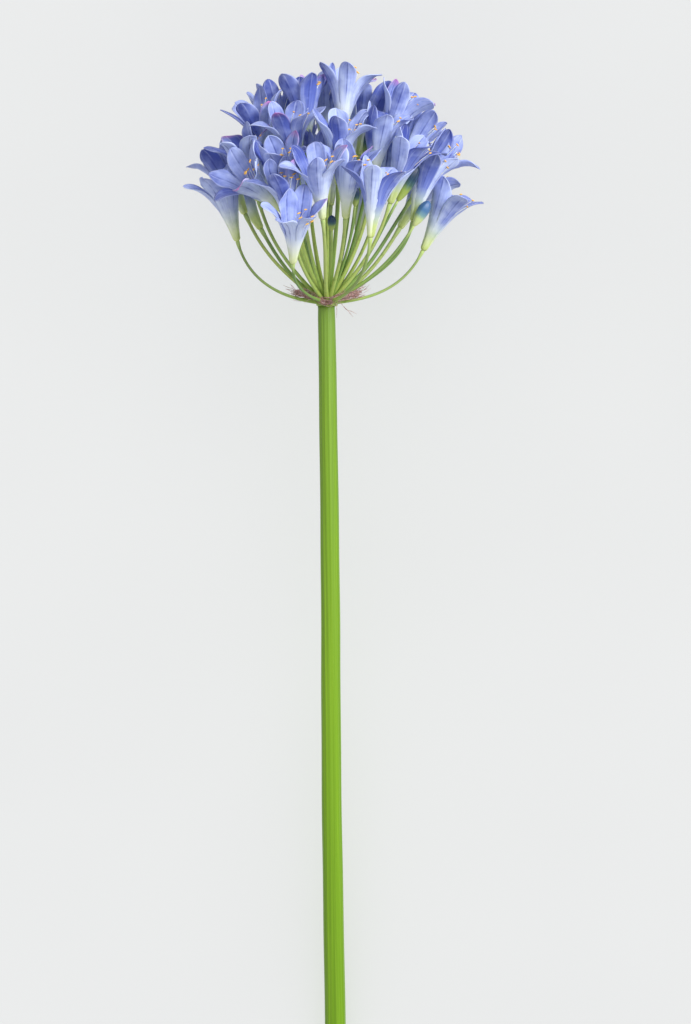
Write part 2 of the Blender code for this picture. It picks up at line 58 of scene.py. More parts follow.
# %% [markdown]
# The plant's own frame
#
# A flower head is easiest to think about upright: x to the right, y away from the viewer, z up along
# the scape, with the origin at the scape's top. The stem really lies on a table with its front face up.
# So every shape is worked out upright, and one matrix lays it down. It tilts the plant until the cut
# end and the head touch the table, and the rest of it is a shift that is read off the scape's solid.

# %% The scape's line
MM = 0.001
GAP = 0.3 * MM
SCAPE_LENGTH = 480 * MM
SCAPE_TOP_RADIUS = 5.1 * MM
SCAPE_FOOT_RADIUS = 6.3 * MM
SCAPE_DEPTH_SHARE = 0.92
SCAPE_RIDGE = 0.25 * MM
SCAPE_LEAN = 5.2 / 420
SCAPE_SWAY = 0.4 * MM
SCAPE_SWAY_LENGTH = 420 * MM
SCAPE_OFFSET = -0.4 * MM
SCAPE_SAG = 4 * MM
SCAPE_THICKENING = 0.7


def scape_centre(down):
    """The middle of the scape at a distance down from its top."""
    sway = SCAPE_SWAY * math.sin(2 * math.pi * down / SCAPE_SWAY_LENGTH)
    sag = SCAPE_SAG * math.sin(math.pi * down / SCAPE_LENGTH)
    return Vector((SCAPE_OFFSET + SCAPE_LEAN * down + sway, sag, -down))


def scape_radius(down):
    """The scape thickens towards its cut end."""
    share = max(0, down / SCAPE_LENGTH)
    return SCAPE_TOP_RADIUS + (SCAPE_FOOT_RADIUS - SCAPE_TOP_RADIUS) * share**SCAPE_THICKENING


def scape_rim(angle, reach):
    """A point of the scape's oval section, from its middle."""
    return Vector((math.cos(angle) * reach, math.sin(angle) * reach * SCAPE_DEPTH_SHARE, 0))


# %% The matrix that lays the plant down
HEAD_HEIGHT = 71 * MM
DOME_CENTRE = Vector((2.4, 0, 50)) * MM
SOLID_SIDES = 12
SOLID_STATIONS = 12

foot = SCAPE_FOOT_RADIUS * SCAPE_DEPTH_SHARE
tilt = math.asin((HEAD_HEIGHT - foot) / (SCAPE_LENGTH + DOME_CENTRE.z))
top_height = foot * math.cos(tilt) + SCAPE_LENGTH * math.sin(tilt)
lay = Matrix.Translation((0, 0, top_height)) @ Matrix.Rotation(tilt - math.pi / 2, 4, "X")
lowest = Vector((1, 1, 1))
for station in range(SOLID_STATIONS + 1):
    share = station / SOLID_STATIONS
    centre = scape_centre(max(GAP, share * SCAPE_LENGTH))
    for side in range(SOLID_SIDES):
        angle = 2 * math.pi * side / SOLID_SIDES
        reach = scape_radius(share * SCAPE_LENGTH) - SCAPE_RIDGE * (side % 2)
        lowest = Vector(map(min, lowest, lay @ (centre + scape_rim(angle, reach))))
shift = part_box("scape")[0] - lowest
plant = Matrix.Translation(shift) @ lay
upright = plant.inverted()
print("tilt:", round(math.degrees(tilt), 2), "degrees, shift in mm:", [round(x / MM, 2) for x in shift])

# %% [markdown]
# Where the blooms and buds stand
#
# The mouths of the blooms lie on a dome. Those that the front shows are placed one by one, by where
# the mouth is and how the bloom leans, and the far side is filled in rows. Crowded neighbours are then
# pushed apart. This is the same rule that made the solids, so each bloom lands on its own solid.

# %% The blooms and buds
DOME_WIDTH = 67 * MM
DOME_FRONT = 66 * MM
DOME_BACK = 60 * MM
DOME_HEIGHT = 73 * MM
FOCUS = Vector((0, 0, -50)) * MM
BACK_FOCUS = Vector((0, 0, -25)) * MM

# Mouth x and z in mm, share of the dome's depth that it stands forward, lean and turn in degrees, and
# the angle from the viewer to the first tepal, to the right round the bloom's axis
FRONT_BLOOMS = (
    (-60.5, 66.5, 0.1, -15, 8, 30),
    (-17.8, 45.1, 1.0, 4, 38, 40),
    (28.5, 64.7, 1.0, 6, 12, -18),
    (70.7, 59.4, 0.1, 27, 8, 25),
    (-46, 71.5, 0.9, -50, 34, -20),
    (-48.7, 89, 0.4, -16, 15, 15),
    (-61, 82, -0.5, -24, -5, 30),
    (-41, 110.5, 0.2, -20, 22, 30),
    (-31, 119, -0.6, None, None, 0),
    (-29, 80, 0.7, -18, 24, -10),
    (-22, 102, 0.9, -10, 16, -20),
    (-13, 122, -0.4, -3, -6, 15),
    (-2, 125, 0.5, 0, 8, 0),
    (11, 128, -0.3, 4, -6, 5),
    (7.7, 97, 0.95, 2, 18, 0),
    (26, 118, -0.6, 14, -12, 20),
    (31, 100, 0.75, 8, 14, 10),
    (43, 115, 0.1, 24, 2, -10),
    (53, 102, -0.6, 26, -10, 20),
    (46, 85, 0.9, 18, 16, -20),
    (58.2, 78, 0.3, 14, 4, 5),
    (68, 89, -0.1, 36, -4, 25),
    (-5, 73, 1.0, -6, 28, -8),
    (-3, 88, 0.2, -4, 14, 0),
    (13, 76, 0.8, 4, 20, 10),
    (-24, 66, 0.85, -10, 22, -15),
)

# Polar angle on the dome, how many, and the first and last azimuth in degrees
BACK_ROWS = ((36, 2, 62, 118), (57, 3, 45, 135), (72, 4, 28, 152))

# Centre x, y, z in mm, lean and turn in degrees, half width and length in mm
BUDS = (
    (3, -33, 46, 0, 20, 2.8, 9),
    (55.8, -14, 53, 32, 10, 4.0, 17),
    (47.5, -20, 70, 30, 10, 4.4, 24),
    (25, -16, 94, 12, 5, 4.2, 22),
    (-13.8, -38, 56, -8, 20, 2.5, 10),
    (17, -34, 61, 6, 15, 2.7, 11),
    (-2, -14, 58, -2, 10, 3.2, 13),
    (-20, 30, 60, -18, -26, 3.2, 14),
)


# %% Places on the dome
def direction(lean, turn):
    """The unit vector that leans to the right and turns to the viewer by these angles in degrees."""
    lean = math.radians(lean)
    turn = math.radians(turn)
    return Vector((math.sin(lean) * math.cos(turn), -math.sin(turn), math.cos(lean) * math.cos(turn)))


def dome_place(x, z, forward):
    """The point of the dome at x and z, moved forward from its middle plane by this share."""
    depth = DOME_FRONT if forward > 0 else DOME_BACK
    across = ((x - DOME_CENTRE.x) / DOME_WIDTH) ** 2 + ((z - DOME_CENTRE.z) / DOME_HEIGHT) ** 2
    return Vector((x, DOME_CENTRE.y - forward * depth * math.sqrt(max(0, 1 - across)), z))


def place_blooms():
    """Mouth and axis of every bloom: those seen from the front, then rows on the far side."""
    placed = []
    for x, z, forward, lean, turn, _ in FRONT_BLOOMS:
        mouth = dome_place(x * MM, z * MM, forward)
        axis = (mouth - FOCUS).normalized() if lean is None else direction(lean, turn)
        placed.append((mouth, axis))
    for polar, count, first, last in BACK_ROWS:
        for i in range(count):
            angle = math.radians(polar)
            azimuth = math.radians(first + (last - first) * i / (count - 1))
            across = math.sin(angle)
            unit = Vector((across * math.cos(azimuth), across * math.sin(azimuth), math.cos(angle)))
            mouth = DOME_CENTRE + unit * Vector((DOME_WIDTH, DOME_BACK, DOME_HEIGHT))
            placed.append((mouth, (mouth - BACK_FOCUS).normalized()))
    return placed


# %% Neighbours moved apart
MOUTH_HEIGHT = 30 * MM
ROOM_HEIGHTS = (2 * MM, 9 * MM, 18 * MM, 26 * MM, 34 * MM)
ROOM_RADII = (3 * MM, 4.4 * MM, 7 * MM, 9.6 * MM, 11.5 * MM)
SPREAD_ROUNDS = 250
SPREAD_STEP = 0.12
SPREAD_WAY = np.array((0.45, 1.0, 0.45))
SPREAD_HOME = np.array((0.03, 0.0, 0.03))
NEVER_ZERO = 1e-9
BUD_ROOM_FOOT = 0.7
BUD_ROOM_WIDENING = 0.5


def spread_apart(feet, axes, rooms):
    """Moves crowded blooms and buds apart, mostly in depth. Each has spheres of room on its axis."""
    home = np.array(feet)
    feet = home.copy()
    ways = np.array(axes)
    heights, radii = np.array(rooms).transpose(2, 0, 1)
    wanted = radii[:, :, None, None] + radii[None, None]
    own = np.eye(len(feet), dtype=bool)[:, None, :, None]
    for _ in range(SPREAD_ROUNDS):
        centres = feet[:, None] + ways[:, None] * heights[:, :, None]
        apart = centres[:, :, None, None] - centres[None, None]
        distance = np.sqrt((apart**2).sum(-1)) + NEVER_ZERO
        push = np.where(own, 0, np.clip(wanted - distance, 0, None)) / distance
        move = (apart * push[..., None]).sum((1, 2, 3))
        feet += move * SPREAD_STEP * SPREAD_WAY + (home - feet) * SPREAD_HOME
    return [Vector(foot) for foot in feet]


feet, axes, rooms = [], [], []
for mouth, axis in place_blooms():
    feet.append(mouth - axis * MOUTH_HEIGHT)
    axes.append(axis)
    rooms.append(list(zip(ROOM_HEIGHTS, ROOM_RADII)))
for x, y, z, lean, turn, half_width, length in BUDS:
    axis = direction(lean, turn)
    feet.append((Vector((x, y, z)) - axis * length / 2) * MM)
    axes.append(axis)
    room = []
    for i in range(len(ROOM_RADII)):
        share = i / (len(ROOM_RADII) - 1)
        room.append((share * length * MM, half_width * MM * (BUD_ROOM_FOOT + BUD_ROOM_WIDENING * share)))
    rooms.append(room)
feet = spread_apart(feet, axes, rooms)
bloom_count = len(feet) - len(BUDS)
print("blooms:", bloom_count, "buds:", len(BUDS))

# %% [markdown]
# Reading a tepal's pose off its solid
#
# Each solid tepal opens only as far as its neighbours let it, so how far is not in any table. It can be
# read back: for each of the few degrees of opening, the place of the tepal's tip is worked out, and the
# one whose tip lies nearest to a corner of the solid is the right one.

# %% The solid's tepals
TEPALS = 6
TUBE = ((1.9 * MM, 0.0), (3.2 * MM, 9 * MM), (5.6 * MM, 18.5 * MM))
TEPAL_LENGTH = (28 * MM, 27 * MM)
TEPAL_HALF_WIDTH = (5.3 * MM, 6.1 * MM)
TEPAL_START = math.radians(16)
TEPAL_CURL = math.radians(88)
TEPAL_CURL_POWER = 1.5
SWAY_SHARE = 0.8
MOST_SWAY = 0.6
SOLID_THICKNESS = 0.8 * MM
STATIONS = (0.0, 0.28, 0.56, 0.82, 1.0)
FLARES = (1.0, 0.85, 0.7, 0.55, 0.4, 0.25, 0.1, -0.1, -0.3)


def frame_along(axis, origin, spin=0.0):
    """The matrix that puts +Z along axis at origin, turned about it by spin."""
    turned = axis.to_track_quat("Z", "Y").to_matrix().to_4x4()
    return Matrix.Translation(origin) @ turned @ Matrix.Rotation(spin, 4, "Z")


def turn_to_viewer(axis):
    """How far a bloom is spun about its axis for its first tepal to face the viewer."""
    viewer = frame_along(axis, Vector()).inverted() @ Vector((0, -1, 0))
    return math.atan2(viewer.y, viewer.x)


def solid_tip(number, flare, sway):
    """The tip of a solid tepal, in the bloom's own frame."""
    whorl = number % 2
    radius, height = TUBE[-1]
    for start, end in zip(STATIONS, STATIONS[1:]):
        slope = TEPAL_START + flare * TEPAL_CURL * ((start + end) / 2) ** TEPAL_CURL_POWER
        radius += (end - start) * TEPAL_LENGTH[whorl] * math.sin(slope)
        height += (end - start) * TEPAL_LENGTH[whorl] * math.cos(slope)
    turn = Matrix.Rotation(2 * math.pi * number / TEPALS, 3, "Z")
    return turn @ Vector((radius, sway * TEPAL_HALF_WIDTH[whorl] * SWAY_SHARE, height))


blooms = []
worst = 0
for index in range(bloom_count):
    name = f"bloom_{index + 1:02d}"
    draws = random.Random(index)
    first = FRONT_BLOOMS[index][5] if index < len(FRONT_BLOOMS) else draws.uniform(0, 360)
    spin = turn_to_viewer(axes[index]) + math.radians(first)
    matrix = plant @ frame_along(axes[index], feet[index], spin)
    sways = [draws.uniform(-MOST_SWAY, MOST_SWAY) for _ in range(TEPALS)]
    corners = np.array([vert.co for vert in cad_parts[name].data.vertices])
    flares = []
    for number in range(TEPALS):
        misses = []
        for flare in FLARES:
            tip = matrix @ solid_tip(number, flare, sways[number])
            tip.z = max(tip.z, SOLID_THICKNESS / 2 + shift.z)
            misses.append(float(np.sqrt(((corners - np.array(tip)) ** 2).sum(1)).min()))
        flares.append(FLARES[int(np.argmin(misses))])
        worst = max(worst, min(misses))
    blooms.append((name, matrix, flares, sways))
print("worst distance from a tip to its solid, in mm:", round(worst / MM, 2))
print("how often each flare was read:", {flare: sum(b[2].count(flare) for b in blooms) for flare in FLARES})

# %% [markdown]
# Tools for meshes and materials
#
# Nearly everything on a plant is a sheet or a tube that follows a rule. So one helper makes a grid with
# Blender's own operator, keeps the grid's square coordinates as a UV map, and then moves each point to
# where a rule puts it. The UV map then runs along and across the piece, as its veins do.

# %% Mesh helpers
ROOT = "root"
UV_NAME = "along"
WELD = 0.01 * MM
TUBE_WELD = 0.001 * MM


def smooth(value, low, high):
    """Rises from 0 at low to 1 at high without a corner."""
    share = min(1, max(0, (value - low) / (high - low)))
    return share * share * (3 - 2 * share)


def shaped_grid(bm, columns, rows, place):
    """A grid whose points go where place(u, v) puts them: u is -1 to 1 across, and v is 0 to 1 along."""
    uv = bm.loops.layers.uv.get(UV_NAME) or bm.loops.layers.uv.new(UV_NAME)
    made = bmesh.ops.create_grid(bm, x_segments=columns, y_segments=rows, size=1)["verts"]
    for face in {face for vert in made for face in vert.link_faces}:
        for loop in face.loops:
            loop[uv].uv = ((loop.vert.co.x + 1) / 2, (loop.vert.co.y + 1) / 2)
    for vert in made:
        vert.co = place(vert.co.x, (vert.co.y + 1) / 2)
    return made


def faces_out(bm, centre_of):
    """Turns all faces over if they look towards the middle line instead of away from it."""
    bm.normal_update()
    way = sum((f.calc_center_median() - centre_of(f.calc_center_median())).dot(f.normal) for f in bm.faces)
    if way < 0:
        bmesh.ops.reverse_faces(bm, faces=bm.faces)


def new_object(name, data):
    """A linked object that shows this mesh or curve, or holds this light or camera."""
    made = bpy.data.objects.new(name, data)
    bpy.context.scene.collection.objects.link(made)
    return made


def finished_mesh(name, bm):
    """The bmesh as a mesh. The bmesh is freed."""
    mesh = bpy.data.meshes.new(name)
    bm.to_mesh(mesh)
    bm.free()
    return mesh


def add_piece(name, bm, materials, replaced=()):
    """Turns a bmesh into a smooth-shaded piece that rides with the plant and stands for solids."""
    mesh = finished_mesh(name, bm)
    mesh.shade_smooth()
    made = new_object(name, mesh)
    for material in materials:
        mesh.materials.append(material)
    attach(made, ROOT)
    if replaced:
        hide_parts(*replaced)
    return made


def tubes_mesh(paths, sides):
    """The mesh of round tubes, made as bevelled curves. A path is a list of points, each with a radius."""
    curve = bpy.data.curves.new("tubes", "CURVE")
    curve.dimensions = "3D"
    curve.bevel_depth = 1
    # A bevel has 4 sides and 2 more for each step of its resolution
    curve.bevel_resolution = sides // 2 - 2
    curve.use_fill_caps = True
    for path in paths:
        spline = curve.splines.new("POLY")
        spline.points.add(len(path) - 1)
        for point, (place, radius) in zip(spline.points, path):
            point.co = (*place, 1)
            point.radius = radius
    holder = new_object("tubes", curve)
    bpy.context.view_layer.update()
    mesh = bpy.data.meshes.new_from_object(holder.evaluated_get(bpy.context.evaluated_depsgraph_get()))
    bpy.data.objects.remove(holder)
    return mesh


def tubes_bmesh(paths, sides):
    """The same tubes as a bmesh with closed ends and faces that point out."""
    bm = bmesh.new()
    bm.from_mesh(tubes_mesh(paths, sides))
    bmesh.ops.remove_doubles(bm, verts=bm.verts, dist=TUBE_WELD)
    bmesh.ops.recalc_face_normals(bm, faces=bm.faces)
    return bm


# %% Material helpers
def linear(code):
    """An sRGB hex colour as linear RGBA."""
    channels = [int(code[i : i + 2], 16) / 255 for i in (1, 3, 5)]
    return (*[c / 12.92 if c <= 0.04045 else ((c + 0.055) / 1.055) ** 2.4 for c in channels], 1)


def set_inputs(tree, node, inputs):
    """Gives each input of a node a link, an sRGB hex colour or another value."""
    for key, value in inputs.items():
        if isinstance(value, bpy.types.NodeSocket):
            tree.links.new(value, node.inputs[key])
        else:
            node.inputs[key].default_value = linear(value) if isinstance(value, str) else value


def new_material(name, **values):
    """A material with a Principled shader whose sockets have these values, its tree and its shader."""
    material = bpy.data.materials.new(name)
    material.use_nodes = True
    tree = material.node_tree
    shader = tree.nodes["Principled BSDF"]
    set_inputs(tree, shader, {socket.replace("_", " "): value for socket, value in values.items()})
    return material, tree, shader


def add_node(tree, kind, inputs=None, stops=(), output=0, **settings):
    """Adds a node, sets it up, gives its inputs values or links, and returns one of its outputs."""
    made = tree.nodes.new("ShaderNode" + kind)
    for name, value in settings.items():
        setattr(made, name, value)
    for i, (place, colour) in enumerate(stops):
        stop = made.color_ramp.elements[i] if i < 2 else made.color_ramp.elements.new(place)
        stop.position = place
        stop.color = linear(colour)
    set_inputs(tree, made, inputs or {})
    return made.outputs[output]


# A Mix node for colours has its share on input 0, the two colours on 6 and 7, and its result on output 2.
# A Map Range node reads input 0 from the range 1 to 2, and gives the range 3 to 4, which is 0 to 1 at first
BLEND = {"data_type": "RGBA", "output": 2}

# %% [markdown]
# The scape
#
# The real stalk is a smooth, waxy green rod, slightly oval, with faint ridges along it. A cylinder would
# be too plain, so a grid is wrapped round the stalk's own line: its sides swell and the ridges drift. The
# top ends in a faint lip under the flower stalks, and the foot is a straight cut that shows the pith.

# %% Scape skin and cut pith
RIDGE_COUNT = 14
RIDGE_HEIGHT = 0.13 * MM
BUNDLE_SPACING = 0.9 * MM
STREAKS = 46
BANDS = 9


def scape_skin():
    """Waxy skin: dull green at the top, brighter further down, with fine streaks and a soft gloss."""
    material, tree, shader = new_material(
        "waxy_scape_skin", Roughness=0.38, IOR=1.42, Specular_IOR_Level=0.35,
        Subsurface_Weight=0.06, Subsurface_Scale=0.6 * MM, Subsurface_Radius=(0.6, 1.0, 0.3),
    )
    uv = add_node(tree, "UVMap", uv_map=UV_NAME)
    down = add_node(tree, "SeparateXYZ", {0: uv}, output="Y")
    stops = ((0.0, "#6C8B36"), (0.12, "#6F9328"), (0.5, "#759E1B"), (1.0, "#6A9412"))
    base = add_node(tree, "ValToRGB", {0: down}, stops)
    bands = add_node(tree, "Mapping", {"Vector": uv, "Scale": (BANDS, 0.8, 1)})
    broad = add_node(tree, "TexNoise", {"Vector": bands, "Scale": 1.0, "Detail": 1.0})
    dark = add_node(tree, "MapRange", {0: broad, 1: 0.5, 2: 0.75, 4: 0.5})
    banded = add_node(tree, "Mix", {0: dark, 6: base, 7: "#557A12"}, **BLEND)
    streaks = add_node(tree, "Mapping", {"Vector": uv, "Scale": (STREAKS, 4, 1)})
    fine = add_node(tree, "TexNoise", {"Vector": streaks, "Scale": 1.0, "Detail": 4.0})
    pale = add_node(tree, "MapRange", {0: fine, 1: 0.5, 2: 0.75, 4: 0.5})
    streaked = add_node(tree, "Mix", {0: pale, 6: banded, 7: "#92BC30"}, **BLEND)
    bump = add_node(tree, "Bump", {"Height": fine, "Strength": 0.35, "Distance": 0.08 * MM})
    set_inputs(tree, shader, {"Base Color": streaked, "Normal": bump})
    return material


stalk_green = scape_skin()


def cut_pith():
    """The wet, fibrous pith of a fresh cut: pale green with darker bundle ends."""
    material, tree, shader = new_material("fresh_cut_pith", Roughness=0.55, IOR=1.38)
    place = add_node(tree, "TexCoord", output="Object")
    cells = add_node(tree, "TexVoronoi", {"Vector": place, "Scale": 1 / BUNDLE_SPACING}, output="Distance")
    stops = ((0.0, "#8FA95A"), (0.25, "#C9D8A0"), (1.0, "#DCE5BD"))
    colour = add_node(tree, "ValToRGB", {0: cells}, stops)
    bump = add_node(tree, "Bump", {"Height": cells, "Strength": 0.4, "Distance": 0.1 * MM})
    set_inputs(tree, shader, {"Base Color": colour, "Normal": bump})
    return material


pith = cut_pith()
print("nodes in the scape's skin and pith:", len(stalk_green.node_tree.nodes), len(pith.node_tree.nodes))

# %% Scape mesh
SCAPE_COLUMNS = 84
SCAPE_ROWS = 170
LIP_HEIGHT = 1.6 * MM
LIP_BULGE = 0.12 * MM
RIDGE_DRIFT = 1.7
RIDGE_DRIFT_LENGTH = 60 * MM
RIDGE_FADE = 8 * MM
SWELL_HEIGHT = 0.14 * MM
SWELL_LENGTH = 17 * MM
SWELL_TURN_LENGTH = 40 * MM
CUT_RIM = 0.5 * MM
CUT_HOLLOW = 0.15 * MM


def scape_skin_point(u, v):
    """A point of the stalk's skin: u goes round it and v down it."""
    down = max(GAP, v * SCAPE_LENGTH)
    angle = math.pi * (u + 1)
    drift = RIDGE_DRIFT * math.sin(down / RIDGE_DRIFT_LENGTH)
    ridge = RIDGE_HEIGHT * math.cos(RIDGE_COUNT * angle + drift)
    swell = SWELL_HEIGHT * math.sin(down / SWELL_LENGTH) * math.sin(angle + down / SWELL_TURN_LENGTH)
    lip = LIP_BULGE * (1 - smooth(down, 0, LIP_HEIGHT))
    reach = scape_radius(down) - RIDGE_HEIGHT + ridge * smooth(down, 0, RIDGE_FADE) + swell + lip
    point = plant @ (scape_centre(down) + scape_rim(angle, reach))
    point.z = max(point.z, 0)
    return point


bm = bmesh.new()
shaped_grid(bm, SCAPE_COLUMNS, SCAPE_ROWS, scape_skin_point)
bmesh.ops.remove_doubles(bm, verts=bm.verts, dist=WELD)
caps = bmesh.ops.holes_fill(bm, edges=[edge for edge in bm.edges if edge.is_boundary])["faces"]
bmesh.ops.recalc_face_normals(bm, faces=bm.faces)
for cap in caps:
    cap.material_index = 1
bmesh.ops.inset_individual(bm, faces=caps, thickness=CUT_RIM, depth=-CUT_HOLLOW)
scape = add_piece("scape_stalk", bm, (stalk_green, pith), ("scape",))
print("scape faces:", len(scape.data.polygons))

# %% [markdown]
# Receptacle and pedicels
#
# The flower stalks, or pedicels, all grow from one small cushion. The outer ones leave it nearly flat
# and arch up like the ribs of an umbrella, and the inner ones rise straight. Each is a Bezier curve from
# the cushion to the foot of its bloom, made round by a curve bevel, a little thicker at both ends. Their
# green changes from stalk to stalk and with the distance from the middle, so the mesh stores both.

# %% Pedicel lines
RECEPTACLE_RADIUS = 6.2 * MM
RECEPTACLE_HEIGHT = 3.8 * MM
ROOT_HEIGHT = 1.5 * MM
RIM_POLAR = math.radians(52)
RIM_START = math.radians(86)
INNER_START = math.radians(64)
FAN_POWER = 0.8
ROOT_SHARE = 0.55
ROOT_HANDLE = 0.45
END_HANDLE = 0.35
PEDICEL_STEPS = 26


def pedicel_curve(base, axis):
    """Points of the arch from the receptacle to the foot of a bloom or bud."""
    aside = Vector((base.x, base.y, 0))
    polar = math.atan2(aside.length, base.z)
    start = RIM_START if polar > RIM_POLAR else INNER_START * (polar / RIM_POLAR) ** FAN_POWER
    outward = aside.normalized()
    root = outward * RECEPTACLE_RADIUS * ROOT_SHARE * min(1, polar / RIM_POLAR)
    root.z = ROOT_HEIGHT
    leave = outward * math.sin(start) + Vector((0, 0, math.cos(start)))
    end = base - axis * (SOLID_THICKNESS / 2 + GAP)
    span = (end - root).length
    handle_a = root + leave * span * ROOT_HANDLE
    handle_b = end - axis * span * END_HANDLE
    points = []
    for i in range(PEDICEL_STEPS):
        t = i / (PEDICEL_STEPS - 1)
        s = 1 - t
        points.append(root * s**3 + handle_a * 3 * s * s * t + handle_b * 3 * s * t * t + end * t**3)
    return points


curves = [pedicel_curve(foot, axis) for foot, axis in zip(feet, axes)]
lengths = [sum((b - a).length for a, b in zip(path, path[1:])) / MM for path in curves]
print("pedicel lengths in mm:", round(min(lengths)), "to", round(max(lengths)))

# %% Pedicel skin
STALK_LAYERS = ("reach", "rise", "tone")
FLECK_SIZE = 3 * MM


def pedicel_skin():
    """Matt skin: yellow-green in the crowded middle, duller on the outer arches, each in its own tone."""
    material, tree, shader = new_material(
        "matt_pedicel_skin", Roughness=0.48, IOR=1.42, Subsurface_Weight=0.1, Subsurface_Scale=0.5 * MM,
    )
    reach, along, tone = (
        add_node(tree, "Attribute", attribute_name=layer, output="Fac") for layer in STALK_LAYERS
    )
    stops = ((0.0, "#95B946"), (0.3, "#8FB250"), (0.7, "#7C9A54"), (1.0, "#708D52"))
    base = add_node(tree, "ValToRGB", {0: reach}, stops)
    yellow = add_node(tree, "Math", {0: tone, 1: 0.55}, operation="MULTIPLY")
    yellowed = add_node(tree, "Mix", {0: yellow, 6: base, 7: "#C2CC72"}, **BLEND)
    shade = add_node(tree, "MapRange", {0: tone, 1: 0.4, 2: 0.0, 4: 0.55})
    toned = add_node(tree, "Mix", {0: shade, 6: yellowed, 7: "#55743A"}, **BLEND)
    end = add_node(tree, "MapRange", {0: along, 1: 0.86, 2: 1.0})
    tipped = add_node(tree, "Mix", {0: end, 6: toned, 7: "#B4C87C"}, **BLEND)
    place = add_node(tree, "TexCoord", output="Object")
    flecks = add_node(tree, "TexNoise", {"Vector": place, "Scale": 1 / FLECK_SIZE, "Detail": 3.0})
    dark = add_node(tree, "MapRange", {0: flecks, 1: 0.55, 2: 0.75, 4: 0.45})
    flecked = add_node(tree, "Mix", {0: dark, 6: tipped, 7: "#5F8034"}, **BLEND)
    bump = add_node(tree, "Bump", {"Height": flecks, "Strength": 0.3, "Distance": 0.1 * MM})
    set_inputs(tree, shader, {"Base Color": flecked, "Normal": bump})
    return material


stalk_skin = pedicel_skin()
print("nodes in the pedicel skin:", len(stalk_skin.node_tree.nodes))

# %% Pedicels and the cushion they grow from
PEDICEL_RADIUS = 1.02 * MM
PEDICEL_SIDES = 12
ROOT_SWELL = 0.75 * MM
ROOT_SWELL_POWER = 6
TIP_SWELL = 0.45 * MM
SWELL_START = 0.9
SLIM_SCALE = 0.8
STALK_SCALES = (0.88, 1.12)
INNER_END = 0.8
CUSHION_LUMPS = 9
CUSHION_LUMP = 0.05
CUSHION_DEPTH_SHARE = 0.96
CUSHION_DROP_SHARE = 0.22

looks = random.Random(29)


def pedicel_radius(t, scale, swell):
    """Thicker where it leaves the cushion, and by a swell just below its bloom."""
    root = ROOT_SWELL * (1 - t) ** ROOT_SWELL_POWER
    return (PEDICEL_RADIUS + root) * scale + swell * smooth(t, SWELL_START, 1)


def add_pedicels():
    """All pedicels and the cushion as one piece. Each stalk runs on into the foot of its own bloom."""
    paths = []
    for index, (path, base) in enumerate(zip(curves, feet)):
        slim = index >= bloom_count or math.hypot(base.x, base.y) > base.z * math.tan(RIM_POLAR)
        scale = looks.uniform(*STALK_SCALES) * (SLIM_SCALE if slim else 1)
        swell = TIP_SWELL if index < bloom_count else 0
        steps = len(path) - 1
        stalk = [(plant @ p, pedicel_radius(i / steps, scale, swell)) for i, p in enumerate(path)]
        paths.append(stalk + [(plant @ base, pedicel_radius(1, scale, swell) * INNER_END)])
    bm = tubes_bmesh(paths, PEDICEL_SIDES)
    cushion = bmesh.ops.create_uvsphere(bm, u_segments=40, v_segments=20, radius=RECEPTACLE_RADIUS)["verts"]
    for vert in cushion:
        lump = 1 + CUSHION_LUMP * math.sin(CUSHION_LUMPS * math.atan2(vert.co.y, vert.co.x))
        height = RECEPTACLE_HEIGHT / RECEPTACLE_RADIUS if vert.co.z > 0 else CUSHION_DROP_SHARE
        shape = Vector((lump, lump * CUSHION_DEPTH_SHARE, height))
        vert.co = plant @ (vert.co * shape)
    return add_piece("pedicels_and_cushion", bm, (stalk_skin,), ("pedicels",))


pedicels = add_pedicels()
print("pedicel faces:", len(pedicels.data.polygons))

# %% What the pedicel skin reads
OUTERMOST = 45 * MM
SEARCH_PARTS = 40


def note_places(piece):
    """Stores how far out, how far along and which tone each point of the stalks has, for the material."""
    spots = np.array([p for path in curves for p in path])
    alongs = np.array([i / (len(path) - 1) for path in curves for i in range(len(path))])
    tones = np.array([tone for path in curves for tone in [looks.random()] * len(path)])
    places = np.array([upright @ vert.co for vert in piece.data.vertices])
    parts = np.array_split(places, SEARCH_PARTS)
    nearest = np.concatenate([((part[:, None] - spots[None]) ** 2).sum(2).argmin(1) for part in parts])
    outs = np.clip(np.hypot(places[:, 0], places[:, 1]) / OUTERMOST, 0, 1)
    for name, values in zip(STALK_LAYERS, (outs, alongs[nearest], tones[nearest])):
        layer = piece.data.attributes.new(name, "FLOAT", "POINT")
        layer.data.foreach_set("value", values.astype(np.float32))


note_places(pedicels)
print("points with", ", ".join(STALK_LAYERS) + ":", len(pedicels.data.vertices))

# %% [markdown]
# One bloom
#
# A bloom is a trumpet: six tepals that are joined in a tube and free above it. Three stand outside and
# three inside, and all have a dark midrib, fine veins and slightly waved edges. A separate tube and six
# separate petals would show a seam. So six long strips are shaped by one rule from the foot to the tip,
# and they meet edge to edge along the tube, where they are welded.

# %% The tube and the line of a tepal
THROAT_RADIUS, THROAT_HEIGHT = TUBE[-1]
FOOT_DROP = 0.4 * MM
FOOT_ROUND = 1.5 * MM
TUBE_SHARE = 0.36
LINE_STEPS = 40
LOBE = 0.035
TIP_CURL_START = 0.65
LAST_SPOT = 0.9999


def tube_radius(height):
    """A gentle curve through the three rings of the solid tube, rounded in at the foot."""
    (r0, _), (r1, h1), (r2, h2) = TUBE
    bend = ((r2 - r0) / h2 - (r1 - r0) / h1) / (h2 - h1)
    start = (r1 - r0) / h1 - bend * h1
    radius = r0 + start * height + bend * height * height
    rounding = min(1, (height + FOOT_DROP) / (FOOT_ROUND + FOOT_DROP))
    return radius * math.sqrt(max(0, 1 - (1 - rounding) ** 2))


